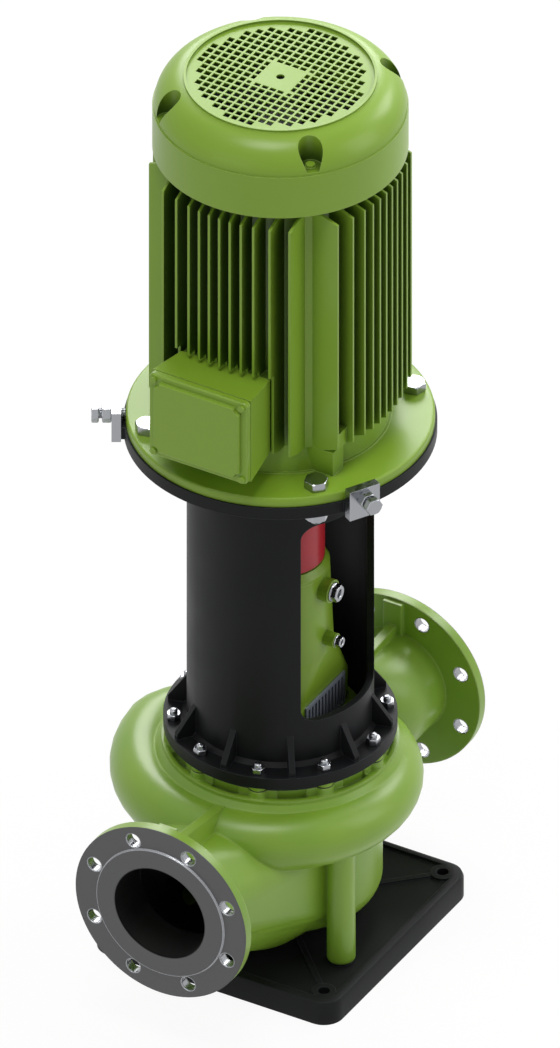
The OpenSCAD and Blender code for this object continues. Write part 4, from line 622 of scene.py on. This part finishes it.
# Threaded jacking screw with a chamfered head, for each of the three plates, and its lock nut.
def addJackScrews(v):
    thread = threadForm(v["radius"], v["pitch"], v["threadDepth"], v["inner"], v["head"] + v["intoHead"])
    head = hexForm(v["flats"], chamferedHex(v["flats"], v["head"], v["headEnd"], 0.0, v["chamfer"]))
    nut = nutForm(v["flats"], v["nutFrom"], v["nutTo"], v["radius"] + v["roundScrew"], v["chamfer"])
    thread, head, nut = (along(g, (0, 0, v["height"]), (1, 0, 0)) for g in (thread, head, nut))
    for side, angle in v["places"].items():
        grids = [around(g, angle) for g in (thread, head)]
        buildPiece("jack_thread_" + side, grids, "jack_" + side, "zinc_steel", ["jack_screw_" + side])
    nuts = [around(nut, angle) for angle in v["places"].values()]
    buildPiece("jack_lock_nuts", nuts, "stand", "zinc_steel", ["jack_nuts"])


addJackScrews(jackLook)
print("threaded pieces made")

plugLook = {
    "filler": {"height": 0.613, "from": 0.0877, "collar": 0.0148, "collarThick": 0.003, "flats": 0.024,
        "hex": 0.009, "socket": 0.0062, "deep": 0.006, "stem": 0.010, "stemDeep": 0.018},
    "level": {"height": 0.528, "from": 0.0937, "collar": 0.0088, "collarThick": 0.002, "flats": 0.015,
        "hex": 0.008, "socket": 0.0036, "deep": 0.005, "stem": 0.006, "stemDeep": 0.018},
}
plugEdges = {"foot": 0.0005, "shoulder": 0.0008, "flatInset": 0.0003, "overlap": 0.0005, "cut": 0.0022,
    "cutOut": 0.0014, "cutUp": 0.0008, "mouth": 0.0012, "columns": 48}


# Screw plug: round collar, chamfered hexagon and a round recess in its end, all about one axis along +X.
def addPlug(name, v, e):
    x0 = v["from"]
    x1 = x0 + v["collarThick"]
    x2 = x1 + v["hex"]
    r, stemEnd = v["collar"], x0 - v["stemDeep"]
    collar = turnedForm([(0, stemEnd), (v["stem"], stemEnd), (v["stem"], x0), (r - e["foot"], x0),
        (r, x0 + e["foot"]), (r, x1 - e["shoulder"]), (r - e["shoulder"], x1), (0, x1)], e["columns"])
    touch = v["flats"] / 2 - e["flatInset"]
    corner = v["flats"] * pastCorner
    head = hexForm(v["flats"], [(0, x1 - e["overlap"]), (corner, x1 - e["overlap"]), (corner, x2 - e["cut"]),
        (touch + e["cutOut"], x2 - e["cutUp"]), (touch, x2), (v["socket"] + e["mouth"], x2),
        (v["socket"], x2 - e["mouth"]), (v["socket"], x2 - v["deep"]), (0, x2 - v["deep"])])
    grids = [along(g, (0, 0, v["height"]), (1, 0, 0)) for g in (collar, head)]
    buildPiece(name + "_plug_detailed", grids, "stand", "zinc_steel", [name + "_plug"])


for plugName, plugValues in plugLook.items():
    addPlug(plugName, plugValues, plugEdges)

lidLook = {"width": 0.164, "height": 0.143, "middle": 1.0165, "front": 0.245, "back": 0.229, "rim": 0.010,
    "rimRound": 0.0025, "inset": 0.0105, "corner": 0.007, "panelCorner": 0.003, "screwInset": 0.0085,
    "notch": 0.0112, "soft": 0.0014, "stepAcross": 150, "stepUp": 132}


# Signed distance to a rectangle with round corners, below zero inside.
def roundedBoxDistance(x, z, w, h, r):
    qx, qz = np.abs(x) - (w / 2 - r), np.abs(z) - (h / 2 - r)
    return np.hypot(np.maximum(qx, 0), np.maximum(qz, 0)) + np.minimum(np.maximum(qx, qz), 0) - r


# Lid front as a height field: a smooth step up at the inner panel's outline, whose corners give
# way to a round notch at each screw, and a quarter-round fall at the rim.
def addTerminalLid(v):
    u = np.linspace(-1, 1, v["stepAcross"])[:, None]
    t = np.linspace(-1, 1, v["stepUp"])[None, :]
    halfX, halfZ, corner = v["width"] / 2, v["height"] / 2, v["corner"]
    x, z = u * halfX + 0 * t, t * halfZ + 0 * u
    # The square grid is squeezed onto the rounded outline near its corners. The smallest length
    # keeps the division from failing at a corner's own middle.
    qx, qz = np.abs(x) - (halfX - corner), np.abs(z) - (halfZ - corner)
    inCorner = (qx > 0) & (qz > 0)
    length = np.hypot(qx, qz)
    pull = np.where(inCorner, np.maximum(qx, qz) / np.maximum(length, 1e-9), 1.0)
    x = np.where(inCorner, np.sign(x) * (halfX - corner + qx * pull), x)
    z = np.where(inCorner, np.sign(z) * (halfZ - corner + qz * pull), z)
    outer = roundedBoxDistance(x, z, v["width"], v["height"], corner)
    panelX, panelZ = v["width"] - 2 * v["inset"], v["height"] - 2 * v["inset"]
    panel = roundedBoxDistance(x, z, panelX, panelZ, v["panelCorner"])
    screwX, screwZ = halfX - v["screwInset"], halfZ - v["screwInset"]
    notch = v["notch"] - np.hypot(np.abs(x) - screwX, np.abs(z) - screwZ)
    shape = np.maximum(panel, notch)
    s = np.clip(0.5 - shape / v["soft"], 0, 1)
    rise = s * s * (3 - 2 * s)
    fall = np.clip((outer + v["rimRound"]) / v["rimRound"], 0, 1)
    drop = v["rimRound"] * (1 - np.sqrt(np.clip(1 - fall ** 2, 0, 1)))
    depth = v["back"] + v["rim"] + (v["front"] - v["back"] - v["rim"]) * rise - drop
    front = np.stack([x, -depth, z + v["middle"]], -1)
    # Rim and back: the border of the grid goes straight back, and a flat sheet closes it.
    border = np.concatenate([front[:, 0], front[-1, 1:], front[-2::-1, -1], front[0, -2:0:-1]], 0)
    back = border.copy()
    back[:, 1] = -v["back"]
    middle = np.tile([[0, -v["back"], v["middle"]]], (len(border), 1))
    skirt = np.stack([border, back, middle], 0)
    rows, columns = front.shape[:2]
    frontFaces = gridFaces(rows, columns, 0, False)
    skirtFaces = gridFaces(len(skirt), len(border), rows * columns, True)[:, ::-1]
    points = [front.reshape(-1, 3), skirt.reshape(-1, 3)]
    obj = meshObject("terminal_lid_cast", points, [frontFaces, skirtFaces], "green_paint")
    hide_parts("terminal_lid")
    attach(obj, "stand")


addTerminalLid(lidLook)
print("plugs and lid made")

floorLook = {"half": 12, "matt": 0.9, "shown": 0.93}


# White floor: matt for the light that falls on it, and glowing for the camera and for reflections.
def addStage(v):
    m = bpy.data.materials.new("studio_floor")
    m.use_nodes = True
    tree = m.node_tree
    tree.nodes.remove(tree.nodes["Principled BSDF"])
    out = tree.nodes["Material Output"]
    matt = tree.nodes.new("ShaderNodeBsdfDiffuse")
    matt.inputs["Color"].default_value = (v["matt"], v["matt"], v["matt"], 1)
    glow = tree.nodes.new("ShaderNodeEmission")
    glow.inputs["Color"].default_value = (1, 1, 1, 1)
    path = tree.nodes.new("ShaderNodeLightPath")
    seen = mathNode(tree, "MAXIMUM", path.outputs["Is Camera Ray"], path.outputs["Is Glossy Ray"])
    mix = tree.nodes.new("ShaderNodeMixShader")
    put(tree, mathNode(tree, "MULTIPLY", seen, v["shown"]), mix.inputs[0])
    tree.links.new(matt.outputs[0], mix.inputs[1])
    tree.links.new(glow.outputs[0], mix.inputs[2])
    tree.links.new(mix.outputs[0], out.inputs["Surface"])
    mesh = bpy.data.meshes.new("floor")
    h = v["half"]
    mesh.from_pydata([(-h, -h, 0), (h, -h, 0), (h, h, 0), (-h, h, 0)], [], [(0, 1, 2, 3)])
    mesh.materials.append(m)
    floor = bpy.data.objects.new("floor", mesh)
    bpy.context.scene.collection.objects.link(floor)


addStage(floorLook)

lamps = {
    "back": {"at": (-1.7, 2.9, 2.9), "aim": (0, 0, 0.8), "size": (2.4, 1.5), "power": 100},
    "backRight": {"at": (1.3, 3.0, 3.1), "aim": (0, 0, 0.4), "size": (1.5, 1.2), "power": 54},
    "top": {"at": (0.1, -1.3, 5.6), "aim": (0, 0, 0.6), "size": (1.9, 1.9), "power": 104},
    "right": {"at": (3.0, 0.9, 2.2), "aim": (0, 0, 0.8), "size": (1.4, 2.4), "power": 27},
    "front": {"at": (-0.6, -3.2, 1.6), "aim": (0, 0, 0.7), "size": (2.0, 2.0), "power": 9},
}
skyStrength = 0.25


# Rectangular lamp that faces its aim.
def addLight(name, v):
    data = bpy.data.lights.new(name, "AREA")
    data.shape = "RECTANGLE"
    data.size, data.size_y = v["size"]
    data.energy = v["power"]
    lamp = bpy.data.objects.new(name, data)
    at = Vector(v["at"])
    turn = (Vector(v["aim"]) - at).to_track_quat("-Z", "Y").to_matrix()
    lamp.matrix_world = Matrix.Translation(at) @ turn.to_4x4()
    bpy.context.scene.collection.objects.link(lamp)


for lampName, lampValues in lamps.items():
    addLight(lampName, lampValues)

# The world lights the scene faintly, and is white to the camera, to reflections and through glass.
world = bpy.data.worlds.new("studio")
world.use_nodes = True
bpy.context.scene.world = world
sky = world.node_tree
background = sky.nodes["Background"]
background.inputs["Color"].default_value = (1, 1, 1, 1)
skyPath = sky.nodes.new("ShaderNodeLightPath").outputs
skySeen = mathNode(sky, "MAXIMUM", skyPath["Is Camera Ray"], skyPath["Is Glossy Ray"])
skySeen = mathNode(sky, "MAXIMUM", skySeen, skyPath["Is Transmission Ray"])
put(sky, ramp(sky, skySeen, 0, 1, skyStrength, 1.0), background.inputs["Strength"])
bpy.context.scene.view_settings.view_transform = "Standard"
print("stage and lamps set")
